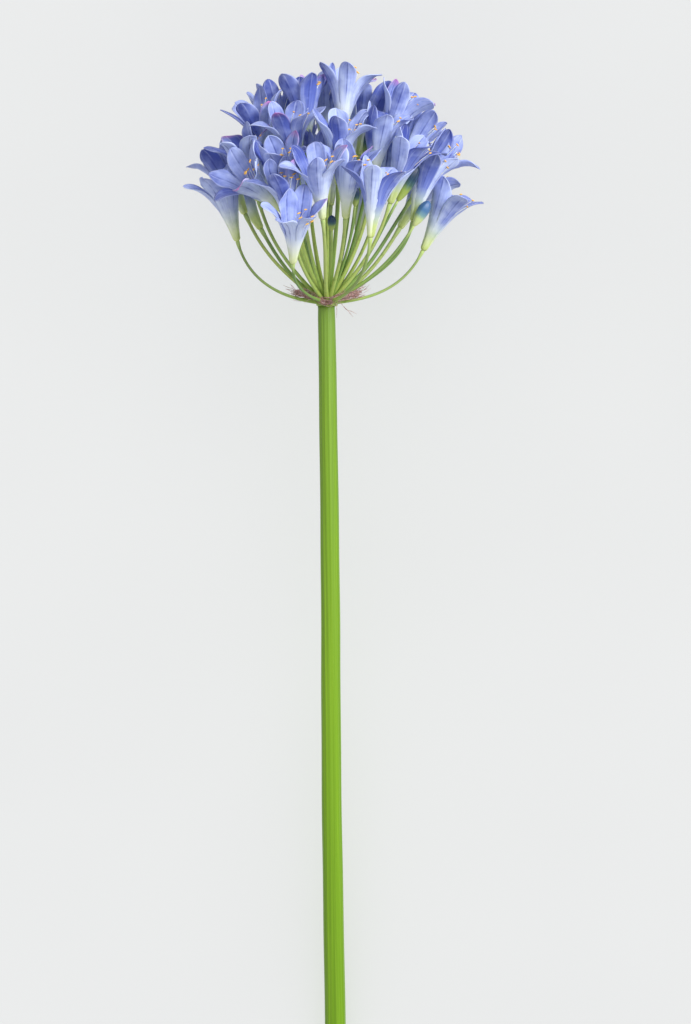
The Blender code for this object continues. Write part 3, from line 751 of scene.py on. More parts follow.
def tepal_line(flare, length, tip_curl):
    """Radius, height and slope at equal steps along a tepal's free part."""
    radius, height = THROAT_RADIUS, THROAT_HEIGHT
    line = [(radius, height, TEPAL_START)]
    for step in range(LINE_STEPS):
        t = (step + 0.5) / LINE_STEPS
        opening = flare * TEPAL_CURL * t**TEPAL_CURL_POWER
        slope = TEPAL_START + opening + tip_curl * smooth(t, TIP_CURL_START, 1)
        radius += length / LINE_STEPS * math.sin(slope)
        height += length / LINE_STEPS * math.cos(slope)
        line.append((radius, height, slope))
    return line


def on_line(line, t):
    """Radius, height and slope at a share of the line."""
    spot = min(t, LAST_SPOT) * LINE_STEPS
    low, high = line[int(spot)], line[int(spot) + 1]
    return [a + (b - a) * (spot - int(spot)) for a, b in zip(low, high)]


# %% How wide a tepal is, and how it differs
WIDEST = 0.6
TIP_NARROWING = 2.5
TIP_ROUNDING = 0.56
WIDER = (1.02, 1.16)


def half_width(t, widest):
    """Half the width of a tepal: from the sector of the throat to a broad, rounded end."""
    throat = THROAT_RADIUS * math.pi / TEPALS
    if t < WIDEST:
        return throat + (widest - throat) * math.sin(math.pi / 2 * t / WIDEST)
    return widest * (1 - ((t - WIDEST) / (1 - WIDEST)) ** TIP_NARROWING) ** TIP_ROUNDING


def tepal_look(number):
    """What differs from one tepal to the next: all drawn at random, from one seeded generator."""
    return {
        "wide": TEPAL_HALF_WIDTH[number % 2] * looks.uniform(*WIDER),
        "hollow": looks.uniform(0.6, 1.4),
        "tip_curl": math.radians(looks.uniform(-26, 24)),
        "twist": math.radians(looks.uniform(-22, 22)),
        "wave": looks.uniform(0.3, 1.1) * MM,
        "waves": looks.uniform(1.2, 2.4),
        "phase": looks.uniform(0, 2 * math.pi),
    }


# %% The rule that shapes a strip
WHORL_STEP = 0.4 * MM
GROOVE_DEPTH = 0.22 * MM
GROOVE_WIDTH = 0.16
FREE_FROM_TUBE = 0.25
WAVE_RANGE = (0.2, 0.7)
WAVE_EDGE_POWER = 2.5
OTHER_EDGE_PHASE = 1.7
SHEET_THICKNESS = 0.36 * MM

# Rows stand closer together at the foot and at the tip, where the shape turns most
FOOT_CROWDING = 1.25
TIP_CROWDING = 1.5

# How much of its length a tepal keeps: all of it, or less where its end would go into the table. The
# end is tested at these places across and along the strip
LENGTH_SHARES = (1, 0.97, 0.94, 0.91, 0.88, 0.85, 0.82, 0.79, 0.76)
TESTED_ACROSS = (-0.7, 0, 0.7)
TESTED_ALONG = (0.8, 0.88, 0.95, 1)


def strip_rule(number, flare, sway, look, matrix):
    """The rule of one strip, from the foot of the tube to the tip of its tepal."""
    whorl = number % 2
    turn = matrix.to_3x3() @ Matrix.Rotation(2 * math.pi * number / TEPALS, 3, "Z")
    side_step = -WHORL_STEP if whorl else WHORL_STEP

    def in_tube(u, v):
        share = v / TUBE_SHARE
        height = -FOOT_DROP + (THROAT_HEIGHT + FOOT_DROP) * share**FOOT_CROWDING
        angle = u * math.pi / TEPALS
        lobe = 1 + LOBE * math.cos(TEPALS * angle) * math.sin(math.pi * share)
        radius = tube_radius(height) * lobe
        return Vector((radius * math.cos(angle), radius * math.sin(angle), height))

    def free(u, v):
        t = 1 - (1 - (v - TUBE_SHARE) / (1 - TUBE_SHARE)) ** TIP_CROWDING
        radius, height, slope = on_line(line, t)
        free_share = smooth(t, 0, FREE_FROM_TUBE)
        bend = max(radius, THROAT_RADIUS) * (1 + (look["hollow"] - 1) * free_share)
        angle = half_width(t, look["wide"]) * u / bend
        lean = slope * free_share
        outward = Vector((math.cos(lean), 0, -math.sin(lean)))
        across = Vector((0, 1, 0))
        twist = look["twist"] * t * t
        across, outward = (
            across * math.cos(twist) + outward * math.sin(twist),
            outward * math.cos(twist) - across * math.sin(twist),
        )
        phase = look["phase"] * (1 if u > 0 else OTHER_EDGE_PHASE)
        wave = look["wave"] * smooth(t, *WAVE_RANGE) * abs(u) ** WAVE_EDGE_POWER
        wave *= math.sin(2 * math.pi * look["waves"] * t + phase)
        groove = GROOVE_DEPTH * free_share * math.exp(-((u / GROOVE_WIDTH) ** 2))
        lift = side_step * free_share - bend * (1 - math.cos(angle)) + wave + groove
        aside = sway * t * t * SWAY_SHARE * TEPAL_HALF_WIDTH[whorl]
        return Vector((radius, aside, height)) + across * bend * math.sin(angle) + outward * lift

    def place(u, v):
        point = in_tube(u, v) if v <= TUBE_SHARE else free(u, v)
        return turn @ point + matrix.translation

    # place() reads the line that is tried here
    for length_share in LENGTH_SHARES:
        line = tepal_line(flare, TEPAL_LENGTH[whorl] * length_share, look["tip_curl"])
        lowest = min(place(u, v).z for u in TESTED_ACROSS for v in TESTED_ALONG)
        if lowest > SHEET_THICKNESS:
            break

    def above_table(u, v):
        world = place(u, v)
        world.z = max(world.z, SHEET_THICKNESS)
        return world

    return above_table


# %% [markdown]
# The colour of a tepal
#
# A tepal is a thin, satin sheet that lets light through. Its foot is yellow-green, the tube fades to
# near white, and the free part is periwinkle, deeper on a few tepals. Its inner face is darker still,
# which is painted shade for the inside of the trumpet. A dark line marks the midrib, veins run along
# it, and some tips blush pink. One image would be the quick way, but the strip's own UV map already
# runs along and across each tepal, so every mark is drawn on it by nodes.

# %% Tepal materials
TEPAL_LAYERS = ("tone", "side_shade", "fade", "blush")
FINE_VEINS = 15
BROAD_LINES = 6
CLOUD_SIZE = 6 * MM


def tepal_skin(name, pale, deep, midrib):
    """Satin tepal: a pale and a deep colour along its length, between which the tepal's tone chooses."""
    material, tree, shader = new_material(
        name, Roughness=0.5, IOR=1.4, Sheen_Weight=0.1,
        Subsurface_Weight=0.2, Subsurface_Scale=1.0 * MM, Subsurface_Radius=(0.8, 0.8, 1.0),
    )
    uv = add_node(tree, "UVMap", uv_map=UV_NAME)
    along = add_node(tree, "SeparateXYZ", {0: uv}, output="Y")
    right = add_node(tree, "SeparateXYZ", {0: uv}, output="X")
    across = add_node(tree, "Math", {0: right, 1: 2.0, 2: -1.0}, operation="MULTIPLY_ADD")
    side = add_node(tree, "Math", {0: across}, operation="ABSOLUTE")
    tone, side_shade, fade, blush = (
        add_node(tree, "Attribute", attribute_name=layer, output="Fac") for layer in TEPAL_LAYERS
    )

    # The tone drifts over the tepal like a cloud and fades along its length. It also leans lighter to one
    # edge and darker to the other, a painted light and shade across the tepal's curve
    place = add_node(tree, "TexCoord", output="Object")
    cloud = add_node(tree, "TexNoise", {"Vector": place, "Scale": 1 / CLOUD_SIZE, "Detail": 2.0})
    drift = add_node(tree, "Math", {0: cloud, 1: 1.2, 2: -0.6}, operation="MULTIPLY_ADD")
    drifting = add_node(tree, "Math", {0: tone, 1: drift}, operation="ADD")
    leaning = add_node(tree, "Math", {0: across, 1: side_shade, 2: drifting}, operation="MULTIPLY_ADD")
    rise = add_node(tree, "Math", {0: along, 1: 2.0, 2: -1.4}, operation="MULTIPLY_ADD")
    fading = add_node(tree, "Math", {0: fade, 1: rise}, operation="MULTIPLY")
    choice = add_node(tree, "Math", {0: leaning, 1: fading}, operation="ADD", use_clamp=True)
    pale_colour = add_node(tree, "ValToRGB", {0: along}, pale)
    deep_colour = add_node(tree, "ValToRGB", {0: along}, deep)
    colour = add_node(tree, "Mix", {0: choice, 6: pale_colour, 7: deep_colour}, **BLEND)

    # Marks on the free part: pale washes, broad dark lines, fine veins, and a midrib that breaks up
    free = add_node(tree, "MapRange", {0: along, 1: 0.3, 2: 0.5})
    broad = add_node(tree, "Mapping", {"Vector": uv, "Scale": (BROAD_LINES, 1.1, 1)})
    washed = add_node(tree, "TexNoise", {"Vector": broad, "Scale": 1.3, "Detail": 2.0})
    thin = add_node(tree, "Mapping", {"Vector": uv, "Scale": (FINE_VEINS, 1.6, 1)})
    fine = add_node(tree, "TexNoise", {"Vector": thin, "Scale": 1.6, "Detail": 3.0})
    wash = add_node(tree, "MapRange", {0: washed, 1: 0.46, 2: 0.24, 4: 0.6})
    line = add_node(tree, "MapRange", {0: washed, 1: 0.56, 2: 0.72, 4: 0.38})
    vein = add_node(tree, "MapRange", {0: fine, 1: 0.5, 2: 0.7, 4: 0.3})
    whole_rib = add_node(tree, "MapRange", {0: side, 1: 0.02, 2: 0.1, 3: midrib, 4: 0.0})
    broken = add_node(tree, "MapRange", {0: cloud, 1: 0.35, 2: 0.6, 3: 0.3})
    rib = add_node(tree, "Math", {0: whole_rib, 1: broken}, operation="MULTIPLY")
    for mark, code in ((wash, "#DCE4FB"), (line, "#5565B8"), (vein, "#5F6FC2"), (rib, "#3B4A9A")):
        shown = add_node(tree, "Math", {0: mark, 1: free}, operation="MULTIPLY")
        colour = add_node(tree, "Mix", {0: shown, 6: colour, 7: code}, **BLEND)

    # The blush: on the tip, and on both edges near it
    tip = add_node(tree, "MapRange", {0: along, 1: 0.8, 2: 0.98})
    edge = add_node(tree, "MapRange", {0: side, 1: 0.7, 2: 1.0, 4: 0.45})
    upper = add_node(tree, "MapRange", {0: along, 1: 0.6, 2: 0.85})
    upper_edge = add_node(tree, "Math", {0: edge, 1: upper}, operation="MULTIPLY")
    where = add_node(tree, "Math", {0: tip, 1: upper_edge}, operation="MAXIMUM")
    pink = add_node(tree, "Math", {0: where, 1: blush}, operation="MULTIPLY")
    blushed = add_node(tree, "Mix", {0: pink, 6: colour, 7: "#BC74BA"}, **BLEND)
    bump = add_node(tree, "Bump", {"Height": fine, "Strength": 0.6, "Distance": 0.12 * MM})
    set_inputs(tree, shader, {"Base Color": blushed, "Normal": bump})
    return material


# Each ramp goes from the foot of the tube to the tip
OUTER_PALE = (
    (0.0, "#CBD87E"), (0.13, "#DFE9BC"), (0.26, "#E4EBE6"),
    (0.4, "#C9D5F4"), (0.7, "#BDCBF6"), (1.0, "#B7C4F2"),
)
OUTER_DEEP = (
    (0.0, "#B3C268"), (0.17, "#BCCB84"), (0.29, "#A9B8C0"),
    (0.4, "#6F7FC8"), (0.7, "#5566B8"), (1.0, "#42509E"),
)
# The inner face's ramps are darker than the outer face's: painted shade for the inside of the trumpet
INNER_PALE = (
    (0.0, "#CFDB86"), (0.1, "#DDE5C4"), (0.3, "#D8DFE4"),
    (0.45, "#B8C5F1"), (0.7, "#ACBBF0"), (1.0, "#A7B5ED"),
)
INNER_DEEP = (
    (0.0, "#BBC878"), (0.1, "#B9C2A8"), (0.3, "#929DC6"),
    (0.45, "#5F70BC"), (0.7, "#4858A8"), (1.0, "#3A4892"),
)
outer_skin = tepal_skin("satin_tepal_outer_face", OUTER_PALE, OUTER_DEEP, 0.7)
shaded_inner_skin = tepal_skin("satin_tepal_inner_face", INNER_PALE, INNER_DEEP, 0.8)
print("nodes in a tepal's skin:", len(outer_skin.node_tree.nodes))

# %% [markdown]
# Tepals that keep out of each other's way
#
# In the crowded head a wide, curled tepal would cut through the next bloom. Real ones push each other
# aside as they open. Here each new strip is tried with less and less of its own width, curl, twist and
# wave, against search trees of the blooms made before it. The first try that is clear is kept, or else
# the one that crosses least.

# %% Tepals kept off other blooms
# How much of its look a tepal keeps. The last one curls and twists it a little the other way
LOOK_SHARES = (1, 0.66, 0.33, 0, -0.4)
CALM_WIDTH = 0.86
CALM_WAVE = 0.4
CLEAR_GRID = (8, 26)


def strip_tree(rule):
    """A search tree of a strip, on a coarse grid."""
    columns, rows = CLEAR_GRID
    points = [rule(2 * i / columns - 1, j / rows) for j in range(rows + 1) for i in range(columns + 1)]
    corners = [(columns + 1) * j + i for j in range(rows) for i in range(columns)]
    squares = [(k, k + 1, k + columns + 2, k + columns + 1) for k in corners]
    return BVHTree.FromPolygons(points, squares)


def clear_rule(number, flare, sway, matrix, others):
    """The rule of a strip, with as much of its look as keeps it off the blooms made so far."""
    look = tepal_look(number)
    tries = []
    for share in LOOK_SHARES:
        calmer = look | {
            "wide": look["wide"] * (CALM_WIDTH + (1 - CALM_WIDTH) * share),
            "hollow": 1 + (look["hollow"] - 1) * share,
            "tip_curl": look["tip_curl"] * share,
            "twist": look["twist"] * share,
            "wave": look["wave"] * (CALM_WAVE + (1 - CALM_WAVE) * share),
        }
        rule = strip_rule(number, flare, sway, calmer, matrix)
        tree = strip_tree(rule)
        crossings = sum(len(tree.overlap(other)) for other in others)
        tries.append((crossings, len(tries), rule, tree))
        if not crossings:
            break
    return min(tries)[2:]


# %% Bloom meshes
STRIP_COLUMNS = 10
STRIP_ROWS = 40
DEEP_SHARE = 0.14
DEEP_TONES = (0.8, 1)
BLUSH_SHARE = 0.09
BLUSHES = (0.5, 1)
TONE_SPREAD = 0.15
# How far each tepal leans to painted light at one edge and painted shade at the other
MOST_SIDE_SHADE = 0.35
FADES = (-0.5, 0.6)

# How deep each front bloom is, from 0 for pale to 1 for indigo. The others draw theirs
# Part of this depth is painted shade: blooms set further back in the head are given deeper tones than those
# in front, and the rest is each bloom's own colour
FRONT_TONES = (
    0.3, 0.2, 0.15, 0.35, 0.2, 0.25, 0.75, 0.5, 0.6, 0.35, 0.35, 0.6, 0.3,
    0.25, 0.1, 0.5, 0.3, 0.3, 0.55, 0.2, 0.15, 0.35, 0.25, 0.55, 0.3, 0.4,
)
OTHER_TONES = (0.1, 0.6)

placed_trees = []


def add_bloom(name, matrix, flares, sways, bloom_tone):
    """Six strips, welded along the tube and given their thickness."""
    bm = bmesh.new()
    others = list(placed_trees)
    layers = [bm.verts.layers.float.new(layer) for layer in TEPAL_LAYERS]
    for number in range(TEPALS):
        rule, tree = clear_rule(number, flares[number], sways[number], matrix, others)
        placed_trees.append(tree)
        tone = min(1, max(0, bloom_tone + looks.gauss(0, TONE_SPREAD)))
        tone = looks.uniform(*DEEP_TONES) if looks.random() < DEEP_SHARE else tone
        side_shade, fade = looks.uniform(-MOST_SIDE_SHADE, MOST_SIDE_SHADE), looks.uniform(*FADES)
        blush = looks.uniform(*BLUSHES) if looks.random() < BLUSH_SHARE else 0.0
        for vert in shaped_grid(bm, STRIP_COLUMNS, STRIP_ROWS, rule):
            for layer, value in zip(layers, (tone, side_shade, fade, blush)):
                vert[layer] = value
    bmesh.ops.remove_doubles(bm, verts=bm.verts, dist=WELD)
    axis = matrix.to_3x3() @ Vector((0, 0, 1))
    origin = matrix.translation
    faces_out(bm, lambda point: origin + axis * (point - origin).dot(axis))
    made = add_piece(f"{name}_tepals", bm, (outer_skin, shaded_inner_skin), (name,))
    sheet = made.modifiers.new("thickness", "SOLIDIFY")
    sheet.thickness = SHEET_THICKNESS
    sheet.offset = 0
    sheet.material_offset = 1
    return made


tones = FRONT_TONES + tuple(looks.uniform(*OTHER_TONES) for _ in blooms[len(FRONT_TONES) :])
petals = [add_bloom(*bloom, tone) for bloom, tone in zip(blooms, tones)]
print("faces in one bloom's sheet:", len(petals[0].data.polygons))

# %% [markdown]
# Stamens
#
# Each bloom has six stamens and one style. Their pale filaments leave the tube's wall, lean together to
# one side and turn up at the end, where a yellow-orange anther hangs across the tip. They are too fine
# for the solids, so they are added here: filaments as bevelled curves, anthers as small stretched spheres.

# %% Stamen materials
def plain_flesh(name, low, high, grain, roughness):
    """Soft plant tissue whose colour wanders between two near ones over a grain in metres."""
    material, tree, shader = new_material(
        name, Roughness=roughness, IOR=1.4, Subsurface_Weight=0.15, Subsurface_Scale=0.5 * MM,
    )
    place = add_node(tree, "TexCoord", output="Object")
    noise = add_node(tree, "TexNoise", {"Vector": place, "Scale": 1 / grain, "Detail": 3.0})
    share = add_node(tree, "MapRange", {0: noise, 1: 0.35, 2: 0.65})
    colour = add_node(tree, "Mix", {0: share, 6: low, 7: high}, **BLEND)
    bump = add_node(tree, "Bump", {"Height": noise, "Strength": 0.4, "Distance": grain / 10})
    set_inputs(tree, shader, {"Base Color": colour, "Normal": bump})
    return material


filament_skin = plain_flesh("moist_filament", "#D9E0EC", "#F1F2E4", 2.5 * MM, 0.4)
pollen = plain_flesh("dry_pollen_anther", "#DC9C38", "#F3CB6C", 0.5 * MM, 0.8)
print("stamen materials:", filament_skin.name, pollen.name)

# %% Stamen meshes
FILAMENT_RADIUS = 0.27 * MM
FILAMENT_STEPS = 14
FILAMENT_SIDES = 6
FILAMENT_FOOT = Vector((1.9, 0, 9)) * MM
FILAMENT_REACHES = (15, 20)
FILAMENT_SPREADS = (1.6, 3.0)
FILAMENT_RISE = 1.5 * MM
FILAMENT_FOOT_SHARE = 1.15
FILAMENT_TAPER = 0.5
ANTHER_LENGTH = 1.35 * MM
ANTHER_RADIUS = 0.45 * MM
ANTHER_TILT = 0.5
STAMEN_BEND = 10 * MM
STAMEN_BEND_POWER = 2.2
STYLE_BEND = 0.7
STYLE_RADIUS = 0.2 * MM

# The side of the upright plant that the stamens of every bloom lean to, and by how much they differ
STAMEN_SIDE = Vector((0.7, -0.75, -0.1))
STAMEN_SIDE_SPREAD = 0.5


def stamen_path(number, matrix, bend):
    """The points of a filament in the row frame: up the tube, over to one side, and up at its end."""
    turn = Matrix.Rotation(2 * math.pi * (number + 0.5) / TEPALS, 3, "Z")
    reach = looks.uniform(*FILAMENT_REACHES) * MM
    spread = looks.uniform(*FILAMENT_SPREADS) * MM
    rise = THROAT_HEIGHT - FILAMENT_FOOT.z + reach
    points = []
    for step in range(FILAMENT_STEPS + 1):
        t = step / FILAMENT_STEPS
        place = turn @ (FILAMENT_FOOT + Vector((spread * t, 0, rise * t + FILAMENT_RISE * t**4)))
        points.append(matrix @ (place + bend * STAMEN_BEND * t**STAMEN_BEND_POWER))
    return points


filaments, anther_spots = [], []
for _, matrix, _, _ in blooms:
    local = matrix.to_3x3().inverted() @ (plant.to_3x3() @ STAMEN_SIDE)
    turned = math.atan2(local.y, local.x) + looks.uniform(-STAMEN_SIDE_SPREAD, STAMEN_SIDE_SPREAD)
    bend = Vector((math.cos(turned), math.sin(turned), 0))
    for number in range(TEPALS):
        path = stamen_path(number, matrix, bend)
        shares = [FILAMENT_FOOT_SHARE - FILAMENT_TAPER * i / FILAMENT_STEPS for i in range(len(path))]
        filaments.append([(place, FILAMENT_RADIUS * share) for place, share in zip(path, shares)])
        ahead = (path[-1] - path[-2]).normalized()
        cross = ahead.cross(matrix.to_3x3() @ bend).normalized()
        way = (cross + ahead * looks.uniform(-ANTHER_TILT, ANTHER_TILT)).normalized()
        anther_spots.append((path[-1], way))
    style = stamen_path(TEPALS, matrix, bend * STYLE_BEND)
    filaments.append([(point, STYLE_RADIUS) for point in style])
add_piece("filaments", tubes_bmesh(filaments, FILAMENT_SIDES), (filament_skin,))
bm = bmesh.new()
for spot, way in anther_spots:
    matrix = frame_along(way, spot) @ Matrix.Diagonal((ANTHER_RADIUS, ANTHER_RADIUS, ANTHER_LENGTH, 1))
    bmesh.ops.create_uvsphere(bm, u_segments=8, v_segments=6, radius=1, matrix=matrix)
add_piece("anthers", bm, (pollen,))
print("stamens:", len(anther_spots), "styles:", len(blooms))

# %% [markdown]
# Buds
#
# Closed buds stand between the open blooms. A bud is six tepals still folded together: club-shaped, with
# a slim yellow-green foot, a dark blue-green top and six shallow furrows. A grid is wrapped round it, and
# its rule gives it the furrows.

# %% Bud skin
BUD_VEINS = 40


def bud_skin():
    """Taut, slightly glossy skin: yellow-green at the foot, dark teal above, with fine lighter veins."""
    material, tree, shader = new_material(
        "taut_bud_skin", Roughness=0.4, IOR=1.42, Subsurface_Weight=0.06, Subsurface_Scale=0.5 * MM,
    )
    uv = add_node(tree, "UVMap", uv_map=UV_NAME)
    along = add_node(tree, "SeparateXYZ", {0: uv}, output="Y")
    tone = add_node(tree, "Attribute", attribute_name="tone", output="Fac")
    stops = ((0.0, "#B4C35A"), (0.34, "#93A84C"), (0.5, "#3F5F50"), (0.64, "#1F3B50"), (1.0, "#22304F"))
    dark = add_node(tree, "ValToRGB", {0: along}, stops)
    stops = ((0.0, "#DCE29A"), (0.32, "#C9D894"), (0.47, "#7FA3A6"), (0.65, "#4C77A5"), (1.0, "#46689C"))
    pale = add_node(tree, "ValToRGB", {0: along}, stops)
    base = add_node(tree, "Mix", {0: tone, 6: dark, 7: pale}, **BLEND)
    stretched = add_node(tree, "Mapping", {"Vector": uv, "Scale": (BUD_VEINS, 3, 1)})
    lined = add_node(tree, "TexNoise", {"Vector": stretched, "Scale": 1.0, "Detail": 3.0})
    vein = add_node(tree, "MapRange", {0: lined, 1: 0.5, 2: 0.75, 4: 0.5})
    veined = add_node(tree, "Mix", {0: vein, 6: base, 7: "#5F86A0"}, **BLEND)
    bump = add_node(tree, "Bump", {"Height": lined, "Strength": 0.4, "Distance": 0.1 * MM})
    set_inputs(tree, shader, {"Base Color": veined, "Normal": bump})
    return material


teal_skin = bud_skin()
print("nodes in the bud skin:", len(teal_skin.node_tree.nodes))

# %% Bud meshes
BUD_COLUMNS = 48
BUD_ROWS = 36
BUD_FOOT = 0.66
BUD_WIDENING = 0.5
BUD_DROP = 0.5 * MM
BUD_WIDENING_POWER = 1.2
FURROW_DEPTH = 0.09
FURROW_BREADTH = 0.6
FURROW_RANGE = (0.2, 0.6)

# How light each bud is, from 0 for dark teal to 1 for pale blue
BUD_TONES = (0.1, 0.85, 0.0, 0.0, 0.2, 0.15, 0.1, 0.1)


def add_bud(name, matrix, half, length, tone):
    """A club-shaped bud along +Z, closed at both ends."""

    def place(u, v):
        angle = math.pi * (u + 1)
        across = math.sqrt(max(0, 1 - (2 * v - 1) ** 2))
        swell = half * min(BUD_FOOT + BUD_WIDENING * v**BUD_WIDENING_POWER, 1)
        furrow = abs(math.sin(TEPALS / 2 * angle)) ** FURROW_BREADTH * smooth(v, *FURROW_RANGE)
        radius = across * swell * (1 - FURROW_DEPTH * furrow)
        height = -BUD_DROP + v * (length + BUD_DROP)
        return matrix @ Vector((math.cos(angle) * radius, math.sin(angle) * radius, height))

    bm = bmesh.new()
    layer = bm.verts.layers.float.new("tone")
    for vert in shaped_grid(bm, BUD_COLUMNS, BUD_ROWS, place):
        vert[layer] = tone
    bmesh.ops.remove_doubles(bm, verts=bm.verts, dist=WELD)
    bmesh.ops.recalc_face_normals(bm, faces=bm.faces)
    return add_piece(f"{name}_skin", bm, (teal_skin,), (name,))


for index, (bud, tone) in enumerate(zip(BUDS, BUD_TONES)):
    matrix = plant @ frame_along(axes[bloom_count + index], feet[bloom_count + index])
    made = add_bud(f"bud_{index + 1:02d}", matrix, bud[5] * MM, bud[6] * MM, tone)
print("faces in one bud:", len(made.data.polygons))

# %% [markdown]
# The dry threads
#
# Before it opened, the head was wrapped in a papery sheath. What is left of it is a loose garland of
# reddish-brown fibres at the foot of the stalks. The solid is a plain oval ring. Its line is read off
# it, and thin threads follow it, each with a start, a length and a wander of its own. In front they hang
# down over the cushion, at both sides wisps lie along the outer stalks, and a few loose ends hang free.

# %% Thread material
thread_skin = plain_flesh("dry_bract_fibre", "#7C5A52", "#C6A39E", 1.1 * MM, 0.9)
print("thread material:", thread_skin.name)

# %% The line that the garland follows
RING_SECTORS = 36
FRONT_DRAWN_IN = 0.3
FRONT_DIP = 4.1 * MM
SIDE_LIFT = 1.2 * MM
SECTOR = 2 * math.pi / RING_SECTORS

ring_points = np.array([upright @ vert.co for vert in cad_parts["bract_ring"].data.vertices])
ring_angles = np.arctan2(ring_points[:, 1], ring_points[:, 0])


def ring_place(angle):
    """The middle of the solid ring at an angle: its radius and height."""
    apart = np.abs((ring_angles - angle + math.pi) % (2 * math.pi) - math.pi)
    near = ring_points[apart < 1.5 * SECTOR]
    return float(np.hypot(near[:, 0], near[:, 1]).mean()), float(near[:, 2].mean())


ring_line = [ring_place(SECTOR * i) for i in range(RING_SECTORS)]
ring_radii = [radius / MM for radius, _ in ring_line]
print("ring radius in mm:", round(min(ring_radii), 1), "to", round(max(ring_radii), 1))


def garland_at(angle):
    """The ring's middle at an angle, drawn in and hanging down where it faces the viewer."""
    spot = angle / SECTOR % RING_SECTORS
    low, high = ring_line[int(spot) % RING_SECTORS], ring_line[(int(spot) + 1) % RING_SECTORS]
    radius, height = [a + (b - a) * (spot - int(spot)) for a, b in zip(low, high)]
    front = max(0, -math.sin(angle))
    side = abs(math.cos(angle))
    return radius * (1 - FRONT_DRAWN_IN * front), height + SIDE_LIFT * side - FRONT_DIP * front**3


def around(angle, radius, height):
    """A point of the row frame at an angle, radius and height about the scape's top."""
    return plant @ Vector((math.cos(angle) * radius, math.sin(angle) * radius, height))


# %% Thread meshes
THREADS = 110
WISPS = 26
THREAD_RADIUS = 0.17 * MM
THREAD_STEPS = 26
THREAD_SIDES = 6
THREAD_SCALES = (0.6, 1.5)
WISP_SCALES = (0.4, 0.9)
LOOSE_END_SCALE = 0.8
END_THINNING = 0.6
FRAY_START = 0.75
WISP_INSIDE = 0.3
SLOW_WANDER = 0.7 * MM
QUICK_WANDER = 0.5 * MM

# Loose ends that hang below the head, as upright points in mm
LOOSE_ENDS = (
    ((4, -9.5, 2), (5.6, -9.8, 0), (5.9, -9.9, -4), (5.7, -9.8, -8.2)),
    ((5, -9.5, 2.4), (8.4, -9.8, 0.3), (11.4, -10, -3.4), (14.6, -10.2, -4.4), (17.6, -10.4, -6)),
    ((10, -9.9, -1.4), (12.4, -10.1, -4), (14.2, -10.3, -6.2), (15.6, -10.4, -7.8)),
    ((-8, -9, 3.4), (-11.4, -9.6, 2.2), (-13.4, -9.8, 0.4)),
)


def thread_path():
    """One thread: part of the way round, wandering, with its end fraying outwards."""
    start = looks.uniform(0, 2 * math.pi)
    sweep = looks.uniform(0.6, 2.6) * looks.choice((-1, 1))
    lift, out = looks.gauss(0, 0.85) * MM, looks.gauss(0, 0.9) * MM
    slow, quick = looks.uniform(1, 3), looks.uniform(4, 9)
    phase, fray = looks.uniform(0, 2 * math.pi), looks.uniform(-1, 4) * MM
    drop = looks.uniform(-2, 2.5) * MM
    points = []
    for step in range(THREAD_STEPS + 1):
        t = step / THREAD_STEPS
        angle = start + sweep * t
        radius, height = garland_at(angle)
        end = smooth(t, FRAY_START, 1)
        radius += out + SLOW_WANDER * math.sin(slow * angle + phase) + fray * end
        height += lift + QUICK_WANDER * math.sin(quick * angle + phase) + drop * end
        points.append(around(angle, radius, height))
    return points


def wisp_path():
    """A loose end that leaves the garland at one of its sides and lies along the outer arches."""
    angle = looks.choice((0, math.pi)) + looks.gauss(0, 0.35)
    sweep, reach = looks.gauss(0, 0.3), looks.uniform(4, 11) * MM
    rise, bow = looks.uniform(-1, 6) * MM, looks.uniform(-1.5, 1.5) * MM
    lift = looks.gauss(0, 0.8) * MM
    points = []
    for step in range(THREAD_STEPS + 1):
        t = step / THREAD_STEPS
        radius, height = garland_at(angle)
        radius += reach * (t - WISP_INSIDE)
        height += lift + rise * t**1.5 + bow * math.sin(math.pi * t)
        points.append(around(angle + sweep * (1 - t), radius, height))
    return points


def thinning(path, scale):
    """A path with its radii, thinner at both ends."""
    last = len(path) - 1
    shares = [1 - END_THINNING * abs(2 * i / last - 1) ** 4 for i in range(len(path))]
    return [(place, THREAD_RADIUS * scale * share) for place, share in zip(path, shares)]


threads = [thinning(thread_path(), looks.uniform(*THREAD_SCALES)) for _ in range(THREADS)]
threads += [thinning(wisp_path(), looks.uniform(*WISP_SCALES)) for _ in range(WISPS)]
for end in LOOSE_ENDS:
    threads.append(thinning([plant @ (Vector(point) * MM) for point in end], LOOSE_END_SCALE))
bm = tubes_bmesh(threads, THREAD_SIDES)
garland = add_piece("bract_threads", bm, (thread_skin,), ("bract_ring",))
print("threads:", len(threads), "faces:", len(garland.data.polygons))

# %% [markdown]
# Floor, light and camera
#
# The stem lies on a plain pale sheet under soft studio light, a little stronger from the upper right. The
# camera looks straight at the stem's front face, from above, far enough away that the head isn't swollen
# by perspective.

# %% Floor
FLOOR_HALF = 3.0
PAPER_CLOUD_SIZE = 160 * MM


def studio_paper():
    """Matt studio paper: even, with a faint cloud of tone."""
    material, tree, shader = new_material(
        "matt_studio_paper", Roughness=0.95, IOR=1.3, Specular_IOR_Level=0.1,
    )
    place = add_node(tree, "TexCoord", output="Object")
    cloud = add_node(tree, "TexNoise", {"Vector": place, "Scale": 1 / PAPER_CLOUD_SIZE, "Detail": 1.0})
    colour = add_node(tree, "Mix", {0: cloud, 6: "#BABBBB", 7: "#BDBEBE"}, **BLEND)
    set_inputs(tree, shader, {"Base Color": colour})
    return material


bm = bmesh.new()
bmesh.ops.create_grid(bm, x_segments=1, y_segments=1, size=FLOOR_HALF)
floor = new_object("floor", finished_mesh("floor", bm))
floor.data.materials.append(studio_paper())
print("side of the floor in mm:", round(2 * FLOOR_HALF / MM))

# %% [markdown]
# The key light gives the petals their modelling, but on the paper it would throw a hard grey shadow of
# the head. So the key and the fill leave the paper out, by Blender's light linking, and a plain overhead
# light that casts no shadow brightens the paper alone. Only the soft shadow of the light from all round
# is left under the stem.

